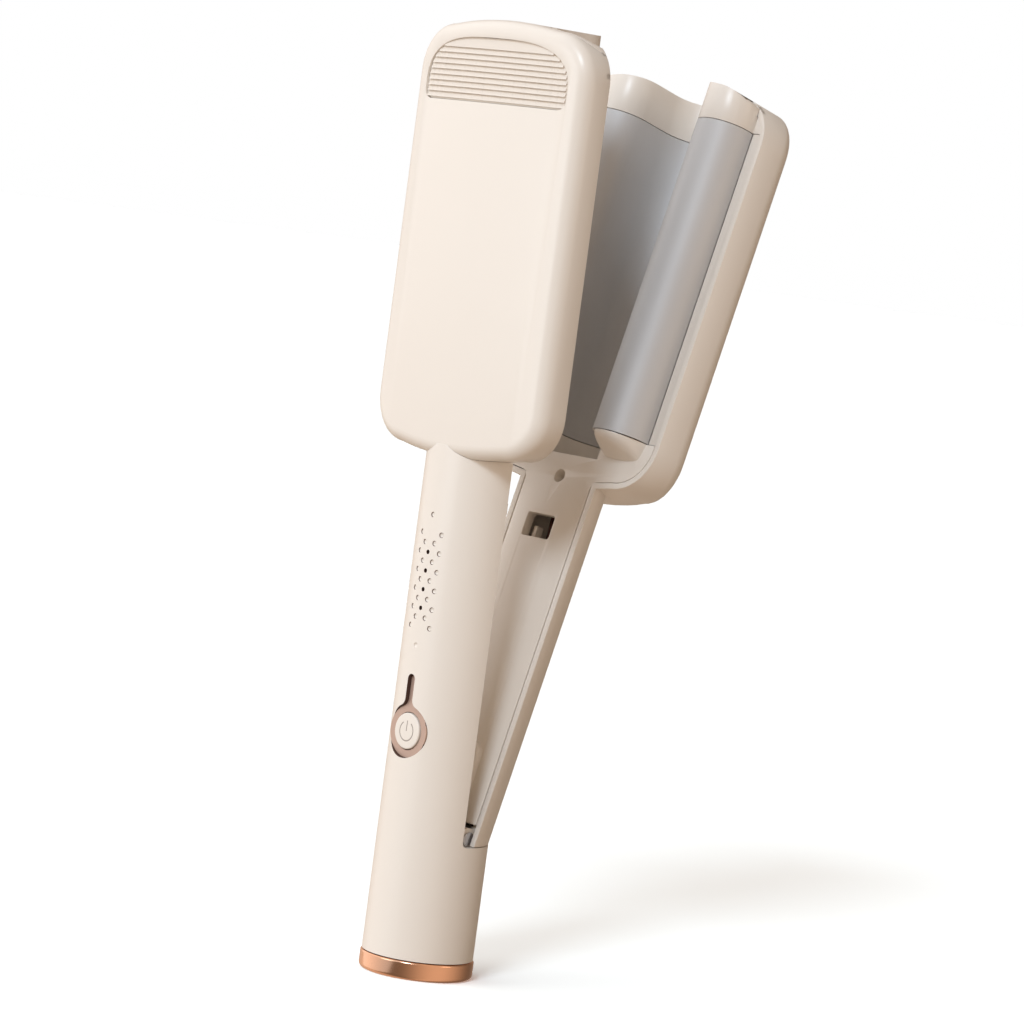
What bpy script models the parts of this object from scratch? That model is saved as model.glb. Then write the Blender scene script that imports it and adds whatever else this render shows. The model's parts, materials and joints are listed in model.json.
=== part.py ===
"""Deep wave curling iron with two arms, stored open as it stands in the photograph.

+Z runs up the handle, -Y is the front with the button, and the lever arm opens towards +Y.
The origin is the centre of the grip on the axis of the closed handle.
The lever arm is modelled closed, then turned open about its hinge.
"""
import math

import bmesh
import bpy
from mathutils import Matrix, Vector

# Fits and walls
GAP = 0.0003
WALL = 0.002
OVERRUN = 0.02
PLATE_THICKNESS = 0.0012
MOULDING = 0.0016

# Handle
GRIP_RADIUS = 0.0195
GRIP_WALL = 0.0022
BASE_BOTTOM = -0.0893
RING_HEIGHT = 0.0064
BASE_RIM = -0.042
CUT_PLANE = -0.0033
NOTCH_RADIUS = 0.002
GRIP_TOP = 0.0905

# Heads, as the outline seen from the front
HEAD_HALF_WIDTH = 0.0428
HEAD_BOTTOM = 0.0905
HEAD_TOP = 0.2406
HEAD_CORNER = 0.0165
HEAD_BOW = 0.0022
FRONT_RIM = -0.004
FRONT_FACE = -0.0152
FRONT_CROWN = 0.0041
HEAD_FILLET = 0.0046
REAR_BOTTOM = 0.0887
REAR_TOP = 0.2390
REAR_RIM = 0.0025
REAR_FACE = 0.0190
REAR_CROWN = 0.0090
REAR_FILLET = 0.0060

# Waves of the heating plates, as a section across the head
RIDGE_HALF = 0.0140
RIDGE_TIP = 0.0224
RIDGE_CORNER = 0.0110
BARREL_X = 0.0260
VALLEY_RADIUS = 0.0117
REAR_RIDGE_RADIUS = 0.0105
REAR_VALLEY_HALF = 0.0154
REAR_VALLEY_FLOOR = 0.0237
REAR_VALLEY_CORNER = 0.0120
REAR_LEDGE = 0.0031
PLATE_TOP = 0.2240
FRONT_PLATE_BOTTOM = 0.1070
REAR_PLATE_BOTTOM = 0.1087
FRONT_WAVE_BOTTOM = 0.0980
FRONT_NOSE_BOTTOM = 0.1025
REAR_NOSE_BOTTOM = 0.1015
RECESS_BOTTOM = 0.1001

# Hinge
OPEN_ANGLE = math.radians(15.43)
PIVOT_Y = 0.002
PIVOT_Z = -0.03967
PIN_RADIUS = 0.002
PIN_FIT = 0.00005
LUG_RADIUS = 0.0040
EAR_INNER = 0.0100
EAR_THICKNESS = 0.0025
LUG_INNER = 0.0132
LUG_THICKNESS = 0.0025
CLIP_THICKNESS = 0.0004
DECK_TOP = -0.0440
DECK_THICKNESS = 0.0020
STOP_GAP = 0.0004

# Front ribs
RIB_BOTTOM = 0.2118
RIB_TOP = 0.2340
RIB_HALF_WIDTH = 0.0345
RIB_SIDE_HEIGHT = 0.0060
RIB_FIRST = 0.2127
RIB_PITCH = 0.001944
RIB_COUNT = 10
RIB_GROOVE = 0.0009
RIB_DEPTH = 0.0006
RIB_THICKNESS = 0.0014

# Button, lights and the rose coloured surround
BUTTON_Z = -0.00475
BUTTON_RADIUS = 0.0063
BUTTON_TRAVEL = 0.0006
BUTTON_PROUD = 0.0004
BEZEL_RADIUS = 0.0093
BEZEL_TAIL_TOP = 0.0151
BEZEL_TAIL_HALF = 0.0018
BEZEL_DEPTH = 0.0018
LIGHT_RADIUS = 0.0006
LIGHT_PITCH = 0.006465
LIGHT_FIRST = 0.05741
LIGHT_COUNT = 4

# Lock
WINDOW_HALF = 0.0070
WINDOW_BOTTOM = 0.0684
WINDOW_TOP = 0.0771
HOOK_HALF = 0.0030
HOOK_BOTTOM = 0.0697
HOOK_TOP = 0.0762
HOOK_REACH = 0.0120
BARB_DEPTH = 0.0028
BARB_THICKNESS = 0.0025
LOCK_TRAVEL = 0.0030
CATCH_BAR = 0.0060
CATCH_BAR_TOP = 0.0688
CATCH_POST_INNER = 0.0042
CATCH_POST_WIDTH = 0.0016
CATCH_THICKNESS = 0.0030
CATCH_POST_HEIGHT = 0.0042
LOCK_STEM_HALF = 0.0015
KNOB_HALF = 0.0040
KNOB_HEIGHT = 0.0100
KNOB_DEPTH = 0.0020
HOLE_Z = 0.0920
HOLE_RADIUS = 0.0025

# Lever arm
LEVER_COVER_HALF = 0.0165
LEVER_COVER_BOTTOM = -0.0340
LUG_DEPTH_SHARE = 0.59
LUG_ARM = 0.0150
LEVER_SCREWS = (0.0150, 0.0840)
LEVER_WIRE_Y = 0.0120
LEVER_WIRE_SHARE = 0.6
REAR_END_DROP = 0.0030

# Hump of the lever's inner face
HUMP_HALF = 0.0126
HUMP_TOP = -0.0040
HUMP_BOTTOM = -0.0330
HUMP_PROUD = 0.0048
HUMP_ROUND = 0.0050

# Fasteners and bosses
SCREW_RADIUS = 0.0008
SCREW_HEAD = 0.0018
SCREW_HEAD_HEIGHT = 0.0007
SCREW_LENGTH = 0.0060
SCREW_HOLE = 0.0011
HEAD_HOLE = 0.0021
BOSS_RADIUS = 0.0030
BASE_BOSS_X = 0.0126
BASE_BOSS_TOP = -0.0700
RIB_WIDTH = 0.0010

# Parts inside the front arm
COVER_THICKNESS = 0.0020
COVER_HALF = 0.0158
COVER_BOTTOM = -0.0350
BOARD_HALF = 0.0090
BOARD_BOTTOM = -0.0240
BOARD_TOP = 0.0620
BOARD_FRONT = -0.0080
BOARD_THICKNESS = 0.0016
BOARD_SCREWS = (-0.0200, 0.0270)
COVER_SCREWS = (-0.0300, 0.0840)
SWITCH_HALF = 0.0030
SWITCH_HEIGHT = 0.0016
PLUNGER_RADIUS = 0.0014
BUTTON_FLANGE = 0.0071
BUTTON_FLANGE_Y = -0.0130
BUTTON_FLANGE_THICKNESS = 0.0008
LED_HALF = 0.0008
LED_HEIGHT = 0.0010
LENS_RADIUS = 0.0009
SPRING_WIRE = 0.0003
BUTTON_SPRING_RADIUS = 0.0048
BUTTON_SPRING_TURNS = 3

# Heaters
HEATER_BOTTOM = 0.1180
HEATER_TOP = 0.2180
HEATER_THICKNESS = 0.0020
INSULATOR_THICKNESS = 0.0006
CARRIER_BOTTOM = 0.1200
CARRIER_TOP = 0.2100
CARRIER_WEB = 0.0008
CARRIER_BAR = 0.0016
CARRIER_FOOT = 0.0014
FRONT_HEATER_HALF = 0.0045
REAR_HEATER_HALF = 0.0050
THERMISTOR_RADIUS = 0.0009
THERMISTOR_LENGTH = 0.0060
THERMISTOR_Z = 0.1500
FUSE_RADIUS = 0.0011
FUSE_LENGTH = 0.0120
FUSE_Z = 0.1330
WIRE_RADIUS = 0.0007

# Base
RING_WALL = 0.0026
RING_CHAMFER = 0.0012
BASE_PLATE_THICKNESS = 0.0020
BASE_PLATE_LIFT = 0.0010
GLAND_OUTER = 0.0050
GLAND_BORE = 0.0033
GLAND_FLANGE = 0.0064
GLAND_FLANGE_THICKNESS = 0.0005
GLAND_TOP = -0.0780
GLAND_CLIP_THICKNESS = 0.0012
RETURN_WIRE = 0.0006
RETURN_TURNS = 7
WIRE_X = 0.0050
WIRE_Y = -0.0072
TERMINAL_HALF = 0.0070
TERMINAL_DEPTH = 0.0040
TERMINAL_HEIGHT = 0.0080

# How finely round forms are cut, and the angle at which an edge is drawn sharp
ROUND_STEPS = 32
SMALL_STEPS = 12
ARC_STEPS = 4
SHARP_ANGLE = math.radians(35)
COLUMN_SHARES = (-0.6, -0.2, 0.2, 0.6)
ROW_SHARES = (0.2, 0.4, 0.6, 0.8)

# Shapes of the arch above the ribs, the rear noses and the surround
ARCH_WIDTH_POWER = 0.62
ARCH_HEIGHT_POWER = 0.8
NOSE_WIDTH_SHARE = 0.8
BEZEL_SHOULDER_SHARE = 1.6

CREAM = (0.86, 0.80, 0.72)
SHADOW_CREAM = (0.80, 0.73, 0.64)
SILVER = (0.55, 0.53, 0.52)
ROSE = (0.62, 0.46, 0.38)
COPPER = (0.80, 0.45, 0.30)
STEEL = (0.50, 0.50, 0.52)
BLACK = (0.03, 0.03, 0.03)
GREEN = (0.02, 0.20, 0.08)
MICA = (0.60, 0.52, 0.36)
CERAMIC = (0.80, 0.78, 0.74)
CLEAR = (0.75, 0.72, 0.66)
RED = (0.45, 0.05, 0.04)


def clear_scene():
    """Remove every object that the file opened with."""
    for existing in list(bpy.data.objects):
        bpy.data.objects.remove(existing, do_unlink=True)


def finish(colour, roughness, metallic, name):
    """Make a plain material from a colour, a roughness and a metallic value."""
    made = bpy.data.materials.new(name)
    made.use_nodes = True
    shader = made.node_tree.nodes["Principled BSDF"]
    shader.inputs["Base Color"].default_value = (*colour, 1.0)
    shader.inputs["Roughness"].default_value = roughness
    shader.inputs["Metallic"].default_value = metallic
    made.diffuse_color = (*colour, 1.0)
    return made


def as_object(name, shape):
    """Link a bmesh as an object with its faces pointing out."""
    bmesh.ops.recalc_face_normals(shape, faces=shape.faces)
    mesh = bpy.data.meshes.new(name)
    shape.to_mesh(mesh)
    shape.free()
    made = bpy.data.objects.new(name, mesh)
    bpy.context.scene.collection.objects.link(made)
    return made


def dress(piece, colour, roughness=0.5, metallic=0.0):
    """Give a piece its own material and shade its round faces smooth."""
    piece.data.materials.clear()
    piece.data.materials.append(finish(colour, roughness, metallic, piece.name))
    piece.data.shade_smooth()
    piece.data.set_sharp_from_angle(angle=SHARP_ANGLE)
    return piece


def place_on(axis, first, second, along):
    """Turn a point of an outline into a point in space."""
    if axis == "X":
        return (along, first, second)
    if axis == "Y":
        return (first, along, second)
    return (first, second, along)


def prism(name, outline, axis, low, high):
    """Extrude a closed outline along an axis from low to high."""
    shape = bmesh.new()
    bottom = [shape.verts.new(place_on(axis, u, v, low)) for u, v in outline]
    top = [shape.verts.new(place_on(axis, u, v, high)) for u, v in outline]
    count = len(outline)
    for index in range(count):
        after = (index + 1) % count
        shape.faces.new((bottom[index], bottom[after], top[after], top[index]))
    shape.faces.new(bottom)
    shape.faces.new(top)
    return as_object(name, shape)


def block(name, low, high):
    """Make a box between two corners."""
    outline = [(low[0], low[1]), (high[0], low[1]), (high[0], high[1]), (low[0], high[1])]
    return prism(name, outline, "Z", low[2], high[2])


def arc(centre, radius, start, end, steps):
    """Points on a circle from a start angle to an end angle, in degrees."""
    points = []
    for index in range(steps + 1):
        angle = math.radians(start + (end - start) * index / steps)
        points.append((centre[0] + radius * math.cos(angle), centre[1] + radius * math.sin(angle)))
    return points


def circle(centre, radius, steps):
    """Points round a full circle."""
    return arc(centre, radius, 0, 360 - 360 / steps, steps - 1)


def rod(name, centre, radius, axis, low, high, steps=SMALL_STEPS):
    """Make a straight round rod along an axis."""
    return prism(name, circle(centre, radius, steps), axis, low, high)


def tube(name, centre, outer, inner, axis, low, high, steps=SMALL_STEPS):
    """Make a round tube along an axis."""
    shape = bmesh.new()
    rings = []
    for radius, along in ((outer, low), (outer, high), (inner, high), (inner, low)):
        points = circle(centre, radius, steps)
        rings.append([shape.verts.new(place_on(axis, u, v, along)) for u, v in points])
    for index, ring in enumerate(rings):
        following = rings[(index + 1) % len(rings)]
        for step in range(steps):
            after = (step + 1) % steps
            shape.faces.new((ring[step], ring[after], following[after], following[step]))
    return as_object(name, shape)


def boolean_mesh(target, tool, operation, solver):
    """The mesh that one Boolean leaves, and whether it is closed."""
    modifier = target.modifiers.new(operation.lower(), "BOOLEAN")
    modifier.operation = operation
    modifier.solver = solver
    modifier.object = tool
    graph = bpy.context.evaluated_depsgraph_get()
    mesh = bpy.data.meshes.new_from_object(target.evaluated_get(graph))
    target.modifiers.remove(modifier)
    shape = bmesh.new()
    shape.from_mesh(mesh)
    closed = len(shape.faces) > 0 and all(edge.is_manifold for edge in shape.edges)
    shape.free()
    return mesh, closed


def combine(target, tool, operation):
    """Apply one Boolean to a piece and remove the tool.

    The second solver is for what the first leaves open.
    """
    mesh, closed = boolean_mesh(target, tool, operation, "EXACT")
    if not closed:
        mesh, closed = boolean_mesh(target, tool, operation, "MANIFOLD")
    mesh.name = target.name
    target.data = mesh
    bpy.data.objects.remove(tool, do_unlink=True)
    return target


def cut(target, *tools):
    """Cut tools out of a piece."""
    for tool in tools:
        combine(target, tool, "DIFFERENCE")
    return target


def weld(target, *tools):
    """Join tools to a piece as one body."""
    for tool in tools:
        combine(target, tool, "UNION")
    return target


def keep(target, tool):
    """Keep only the part of a piece that lies inside the tool."""
    return combine(target, tool, "INTERSECT")


def dress_set(name, pieces, colour, roughness=0.5, metallic=0.0, pair=("left", "right")):
    """Name and dress the copies of a repeated piece, two by place and more by number."""
    for index, piece in enumerate(pieces):
        ending = pair[index] if len(pieces) == len(pair) else str(index + 1)
        piece.name = f"{name}_{ending}"
        piece.data.name = piece.name
        dress(piece, colour, roughness, metallic)


class Head:
    """Outline and crowned face of one head, drawn in by an inset for its inside."""

    def __init__(self, bottom, top, rim, face, crown, fillet, side):
        self.bottom = bottom
        self.top = top
        self.rim = rim
        self.face = face
        self.crown = crown
        self.fillet = fillet
        self.side = side

    def half(self, inset):
        return HEAD_HALF_WIDTH - inset

    def corner(self, inset):
        return HEAD_CORNER - inset

    def edge_steps(self, inset):
        """Distances from the edge at which the form is sampled."""
        steps = []
        for index in range(ARC_STEPS + 1):
            turn = math.pi / 2 * index / ARC_STEPS
            steps.append(self.corner(inset) * (1 - math.cos(turn)))
        return steps

    def columns(self, inset):
        """Places across the head, closest together near its sides."""
        near = self.edge_steps(inset)
        half = self.half(inset)
        inner = half - self.corner(inset)
        left = [-half + step for step in near]
        middle = [inner * share for share in COLUMN_SHARES]
        return left + middle + [-place for place in reversed(left)]

    def height_at(self, across, inset, upper):
        """Height of the top or bottom outline at one column."""
        half = self.half(inset)
        corner = self.corner(inset)
        inner = half - corner
        straight = min(abs(across) / inner, 1)
        drop = HEAD_BOW * straight ** 2
        beyond = max(abs(across) - inner, 0)
        drop += corner - math.sqrt(max(corner ** 2 - beyond ** 2, 0))
        if upper:
            return self.top - inset - drop
        return self.bottom + inset + drop

    def outline(self, inset):
        """The closed outline as seen from the front."""
        places = self.columns(inset)
        lower = [(place, self.height_at(place, inset, False)) for place in places]
        upper = [(place, self.height_at(place, inset, True)) for place in reversed(places)]
        return lower + upper

    def edge_distance(self, across, height, inset):
        """Distance from a point of the face to the outline."""
        half = self.half(inset)
        corner = self.corner(inset)
        inner = half - corner
        near = half - abs(across)
        top_line = self.top - inset - HEAD_BOW * min(abs(across) / inner, 1) ** 2
        bottom_line = self.bottom + inset + HEAD_BOW * min(abs(across) / inner, 1) ** 2
        ends = ((top_line, 1), (bottom_line, -1))
        for line, sense in ends:
            depth = (line - height) * sense
            if abs(across) > inner and depth < corner:
                reach = math.hypot(abs(across) - inner, corner - depth)
                near = min(near, corner - reach)
            else:
                near = min(near, depth)
        return max(near, 0)

    def surface(self, across, height, inset=0.0):
        """Place of the crowned face along Y."""
        fillet = max(self.fillet - inset, self.fillet / 4)
        depth = min(self.edge_distance(across, height, inset), fillet)
        drop = fillet - math.sqrt(fillet ** 2 - (fillet - depth) ** 2)
        crown = self.crown * (1 - (across / HEAD_HALF_WIDTH) ** 2)
        return self.face + self.side * (crown - inset - drop)

    def solid(self, name, inset=0.0, rim=None):
        """The filled form, or its inside where an inset is given."""
        rim = self.rim if rim is None else rim
        places = self.columns(inset)
        near = self.edge_steps(inset)
        shape = bmesh.new()
        grid = []
        for across in places:
            low = self.height_at(across, inset, False)
            high = self.height_at(across, inset, True)
            heights = [low + step for step in near]
            start = heights[-1]
            finish_height = high - near[-1]
            heights += [start + (finish_height - start) * share for share in ROW_SHARES]
            heights += [high - step for step in reversed(near)]
            column = []
            for height in heights:
                along = self.surface(across, height, inset)
                column.append(shape.verts.new((across, along, height)))
            grid.append(column)
        for first, second in zip(grid, grid[1:]):
            for row in range(len(first) - 1):
                shape.faces.new((first[row], second[row], second[row + 1], first[row + 1]))
        border = [column[0] for column in grid]
        border += grid[-1][1:]
        border += [column[-1] for column in reversed(grid[:-1])]
        border += list(reversed(grid[0][1:-1]))
        backs = [shape.verts.new((vert.co.x, rim, vert.co.z)) for vert in border]
        for index, vert in enumerate(border):
            after = (index + 1) % len(border)
            shape.faces.new((vert, border[after], backs[after], backs[index]))
        shape.faces.new(backs)
        return as_object(name, shape)

    def inner_prism(self, name, inset):
        """A tool that trims what fits inside the head."""
        reach = HEAD_HALF_WIDTH
        return prism(name, self.outline(inset), "Y", -reach, reach)


FRONT = Head(HEAD_BOTTOM, HEAD_TOP, FRONT_RIM, FRONT_FACE, FRONT_CROWN, HEAD_FILLET, -1)
REAR = Head(REAR_BOTTOM, REAR_TOP, REAR_RIM, REAR_FACE, REAR_CROWN, REAR_FILLET, 1)


def mirrored(points):
    """Carry a half section, drawn from the right rim to the middle, over to the left."""
    return points + [(-u, v) for u, v in reversed(points)]


def front_wave(offset=0.0):
    """Section of the front plate: a valley on each side and a ridge in the middle."""
    radius = VALLEY_RADIUS + offset
    half = RIDGE_HALF - offset
    corner = RIDGE_CORNER - offset
    tip = RIDGE_TIP - offset
    rim = FRONT_RIM - offset
    spread = math.degrees(math.asin((-rim) / radius))
    right = [(HEAD_HALF_WIDTH + WALL, rim)]
    right += arc((BARREL_X, 0), radius, -spread, -180, 2 * ARC_STEPS)
    right[-1] = (half, 0)
    right += arc((half - corner, tip - corner), corner, 0, 90, ARC_STEPS)
    return mirrored(right)


def rear_wave(offset=0.0):
    """Section of the rear plate: a ridge on each side and a valley in the middle."""
    radius = REAR_RIDGE_RADIUS - offset
    half = REAR_VALLEY_HALF + offset
    corner = REAR_VALLEY_CORNER + offset
    floor = REAR_VALLEY_FLOOR + offset
    ledge = REAR_LEDGE + offset
    right = [(HEAD_HALF_WIDTH + WALL, ledge), (BARREL_X + radius, ledge)]
    right += arc((BARREL_X, 0), radius, 0, -180, 2 * ARC_STEPS)
    right[-1] = (half, 0)
    right += arc((half - corner, floor - corner), corner, 0, 90, ARC_STEPS)
    return mirrored(right)


def strip(name, wave, outer, inner, low, high):
    """A sheet that follows a wave, between two offsets from its face."""
    outline = wave(outer) + list(reversed(wave(inner)))
    return prism(name, outline, "Z", low, high)


def wave_without_rim(wave, trim):
    """The same wave with its flat rims left off, for the metal plates."""
    def section(offset=0.0):
        points = wave(offset)
        return points[trim:-trim]
    return section


def barrel(centre, radius, ledge, steps):
    """Section of one rear ridge, closed along its ledge."""
    right = centre + radius
    left = centre - radius
    return [(right, ledge)] + arc((centre, 0), radius, 0, -180, steps) + [(left, ledge)]


def ridge_section(offset, foot):
    """Section of the front ridge, closed along its foot."""
    half = RIDGE_HALF - offset
    corner = RIDGE_CORNER - offset
    tip = RIDGE_TIP - offset
    right = [(half, foot)] + arc((half - corner, tip - corner), corner, 0, 90, ARC_STEPS)
    return mirrored(right)


def barrel_nose(name, centre):
    """Rounded lower end of a rear ridge, which flattens onto the lever's inner face."""
    steps = ARC_STEPS
    shape = bmesh.new()
    rings = []
    for index in range(steps + 1):
        share = index / steps
        lift = math.sin(math.pi / 2 * share)
        height = REAR_PLATE_BOTTOM - GAP - (1 - share) * (REAR_PLATE_BOTTOM - REAR_NOSE_BOTTOM)
        width = REAR_RIDGE_RADIUS * (NOSE_WIDTH_SHARE + (1 - NOSE_WIDTH_SHARE) * math.sqrt(share))
        depth = MOULDING + (REAR_RIDGE_RADIUS + REAR_LEDGE) * lift
        ring = []
        for turn in range(2 * steps + 1):
            angle = math.pi * turn / (2 * steps)
            across = centre + width * math.cos(angle)
            along = REAR_LEDGE + MOULDING - depth * math.sin(angle)
            ring.append(shape.verts.new((across, along, height)))
        rings.append(ring)
    for lower, upper in zip(rings, rings[1:]):
        for index in range(len(lower) - 1):
            shape.faces.new((lower[index], lower[index + 1], upper[index + 1], upper[index]))
        shape.faces.new((lower[-1], lower[0], upper[0], upper[-1]))
    shape.faces.new(rings[0])
    shape.faces.new(rings[-1])
    return as_object(name, shape)




def screw(name, across, height, seat, sense):
    """A pan head screw along Y: the head lies on its seat and the tip points along sense."""
    rest = seat - sense * GAP
    low, high = sorted((rest - sense * GAP, rest + sense * SCREW_LENGTH))
    made = rod(name, (across, height), SCREW_RADIUS, "Y", low, high)
    low, high = sorted((rest - sense * SCREW_HEAD_HEIGHT, rest))
    return weld(made, rod("screw_head", (across, height), SCREW_HEAD, "Y", low, high))


def round_tube(name, points, radius):
    """A solid round tube along a list of points."""
    curve = bpy.data.curves.new(name, "CURVE")
    curve.dimensions = "3D"
    curve.bevel_depth = radius
    curve.bevel_resolution = 1
    curve.use_fill_caps = True
    spline = curve.splines.new("POLY")
    spline.points.add(len(points) - 1)
    for place, point in zip(spline.points, points):
        place.co = (*point, 1.0)
    guide = bpy.data.objects.new(name, curve)
    bpy.context.scene.collection.objects.link(guide)
    graph = bpy.context.evaluated_depsgraph_get()
    mesh = bpy.data.meshes.new_from_object(guide.evaluated_get(graph))
    bpy.data.objects.remove(guide, do_unlink=True)
    shape = bmesh.new()
    shape.from_mesh(mesh)
    bmesh.ops.remove_doubles(shape, verts=shape.verts, dist=GAP / 30)
    return as_object(name, shape)


def wires(name, routes, colour, radius=WIRE_RADIUS):
    """Round wires that follow smooth routes through a few points."""
    dress_set(name, [round_tube(name, smooth_route(route), radius) for route in routes], colour)


def smooth_route(route, steps=4):
    """Points on a smooth curve through the route's own points."""
    points = [Vector(point) for point in route]
    ends = [points[0]] + points + [points[-1]]
    smooth = []
    for index in range(1, len(ends) - 2):
        before, start, end, after = ends[index - 1:index + 3]
        for step in range(steps):
            t = step / steps
            first = -t ** 3 + 2 * t ** 2 - t
            second = 3 * t ** 3 - 5 * t ** 2 + 2
            third = -3 * t ** 3 + 4 * t ** 2 + t
            fourth = t ** 3 - t ** 2
            smooth.append((before * first + start * second + end * third + after * fourth) / 2)
    smooth.append(points[-1])
    return smooth


def coil(name, centre, radius, wire, axis, low, high, turns, steps=12):
    """A helical spring as one unbroken tube."""
    route = []
    count = turns * steps
    for index in range(count + 1):
        angle = 2 * math.pi * index / steps
        along = low + (high - low) * index / count
        u = centre[0] + radius * math.cos(angle)
        v = centre[1] + radius * math.sin(angle)
        route.append(place_on(axis, u, v, along))
    return round_tube(name, route, wire)


def bezel_outline(offset):
    """Drop shaped outline of the button surround, grown by an offset."""
    radius = BEZEL_RADIUS + offset
    half = BEZEL_TAIL_HALF + offset
    shoulder = BEZEL_TAIL_HALF * BEZEL_SHOULDER_SHARE - offset / 2
    rise = math.sqrt((radius + shoulder) ** 2 - (half + shoulder) ** 2)
    meet = math.degrees(math.atan2(rise, half + shoulder))
    right = arc((half + shoulder, BUTTON_Z + rise), shoulder, 180, 180 + meet, ARC_STEPS)
    right.reverse()
    bottom = arc((0, BUTTON_Z), radius, -90, meet, 3 * ARC_STEPS)
    tip = arc((0, BEZEL_TAIL_TOP - BEZEL_TAIL_HALF), half, 0, 90, ARC_STEPS)
    points = bottom + right[1:] + tip
    return points + [(-u, v) for u, v in reversed(points[1:-1])]


def rib_outline(offset):
    """Arched outline of the ribbed panel, drawn in by an offset."""
    half = RIB_HALF_WIDTH - offset
    bottom = RIB_BOTTOM + offset
    shoulder = RIB_BOTTOM + RIB_SIDE_HEIGHT
    top = RIB_TOP - offset
    right = [(half, bottom)]
    for index in range(2 * ARC_STEPS + 1):
        turn = math.pi / 2 * index / (2 * ARC_STEPS)
        across = half * math.cos(turn) ** ARCH_WIDTH_POWER
        right.append((across, shoulder + (top - shoulder) * math.sin(turn) ** ARCH_HEIGHT_POWER))
    right[-1] = (0, top)
    return right + [(-u, v) for u, v in reversed(right[:-1])]


def make_handle_shell():
    """Round grip: a full tube at the base, and only its front half above the hinge."""
    low = BASE_BOTTOM + RING_HEIGHT + GAP
    high = GRIP_TOP - GAP
    shell = rod("handle_shell", (0, 0), GRIP_RADIUS, "Z", low, high, ROUND_STEPS)
    inside = rod("inside", (0, 0), GRIP_RADIUS - GRIP_WALL, "Z", low - OVERRUN, high + OVERRUN, ROUND_STEPS)
    cut(shell, inside)
    far = GRIP_RADIUS + OVERRUN
    corner = (CUT_PLANE + NOTCH_RADIUS, BASE_RIM + NOTCH_RADIUS)
    opening = [(CUT_PLANE, high + OVERRUN)]
    opening += arc(corner, NOTCH_RADIUS, 180, 270, ARC_STEPS)
    opening += [(far, BASE_RIM), (far, high + OVERRUN)]
    cut(shell, prism("opening", opening, "X", -far, far))
    cut(shell, prism("surround_hole", bezel_outline(0), "Y", -far, 0))
    for index in range(LIGHT_COUNT):
        height = LIGHT_FIRST - index * LIGHT_PITCH
        cut(shell, rod("light_hole", (0, height), LIGHT_RADIUS, "Y", -far, 0))
    wall = -(GRIP_RADIUS - GRIP_WALL / 2)
    board_seat = BOARD_FRONT - GAP
    cover_seat = CUT_PLANE - COVER_THICKNESS - GAP
    for heights, seat in ((BOARD_SCREWS, board_seat), (COVER_SCREWS, cover_seat)):
        for height in heights:
            weld(shell, rod("boss", (0, height), BOSS_RADIUS, "Y", wall, seat))
            cut(shell, rod("pilot", (0, height), SCREW_HOLE, "Y", seat - SCREW_LENGTH, seat + GAP))
    bottom = low
    inner = GRIP_RADIUS - GRIP_WALL
    for side in (-1, 1):
        centre = (side * BASE_BOSS_X, 0)
        boss = rod("base_boss", centre, BOSS_RADIUS, "Z", bottom, BASE_BOSS_TOP)
        ends = sorted((side * BASE_BOSS_X, side * (inner + GRIP_WALL / 2)))
        rib = block("rib", (ends[0], -RIB_WIDTH, bottom), (ends[1], RIB_WIDTH, BASE_BOSS_TOP))
        weld(boss, rib)
        weld(shell, boss)
        cut(shell, rod("pilot", centre, SCREW_HOLE, "Z", bottom - GAP, bottom + SCREW_LENGTH + GAP))
    return dress(shell, CREAM, 0.42)


def make_front_cover():
    """Crowned outer cover of the front head."""
    cover = FRONT.solid("front_head_cover")
    cut(cover, FRONT.solid("inside", WALL, FRONT_RIM + OVERRUN))
    neck = GRIP_RADIUS - GRIP_WALL + GAP
    cut(cover, rod("neck", (0, 0), neck, "Z", HEAD_BOTTOM - OVERRUN, HEAD_BOTTOM + 2 * WALL, ROUND_STEPS))
    cut(cover, prism("rib_hole", rib_outline(0), "Y", -GRIP_RADIUS - OVERRUN, FRONT_FACE + WALL))
    radius = VALLEY_RADIUS + MOULDING + 2 * GAP
    for side in (-1, 1):
        notch = rod("notch", (side * BARREL_X, 0), radius, "Z", PLATE_TOP, HEAD_TOP + OVERRUN, ROUND_STEPS)
        cut(cover, notch)
        edge = BARREL_X + VALLEY_RADIUS + 2 * GAP
        ends = sorted((side * edge, side * (HEAD_HALF_WIDTH - WALL / 2)))
        low = (ends[0], FRONT_RIM - MOULDING, FRONT_PLATE_BOTTOM)
        weld(cover, block("ledge", low, (ends[1], FRONT_RIM, PLATE_TOP)))
    return dress(cover, CREAM, 0.42)


def make_rib_panel():
    """Arched grip panel with its row of grooves, set into the front cover."""
    panel = prism("rib_panel", rib_outline(GAP), "Y", -GRIP_RADIUS - OVERRUN, FRONT_FACE + RIB_THICKNESS)
    keep(panel, FRONT.solid("face"))
    cut(panel, FRONT.solid("back", RIB_THICKNESS + RIB_DEPTH, FRONT_RIM + OVERRUN))
    face = FRONT_FACE - FRONT_CROWN
    for index in range(RIB_COUNT):
        height = RIB_FIRST + index * RIB_PITCH
        half = groove_half(height)
        steps = 2 * ARC_STEPS
        outline = []
        for step in range(steps + 1):
            across = half * (2 * step / steps - 1)
            outline.append((across, FRONT.surface(across, RIB_BOTTOM) + RIB_DEPTH))
        outline += [(half, face - GAP), (-half, face - GAP)]
        low = height - RIB_GROOVE / 2
        cut(panel, prism("groove", outline, "Z", low, low + RIB_GROOVE))
    return dress(panel, SHADOW_CREAM, 0.5)


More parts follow.
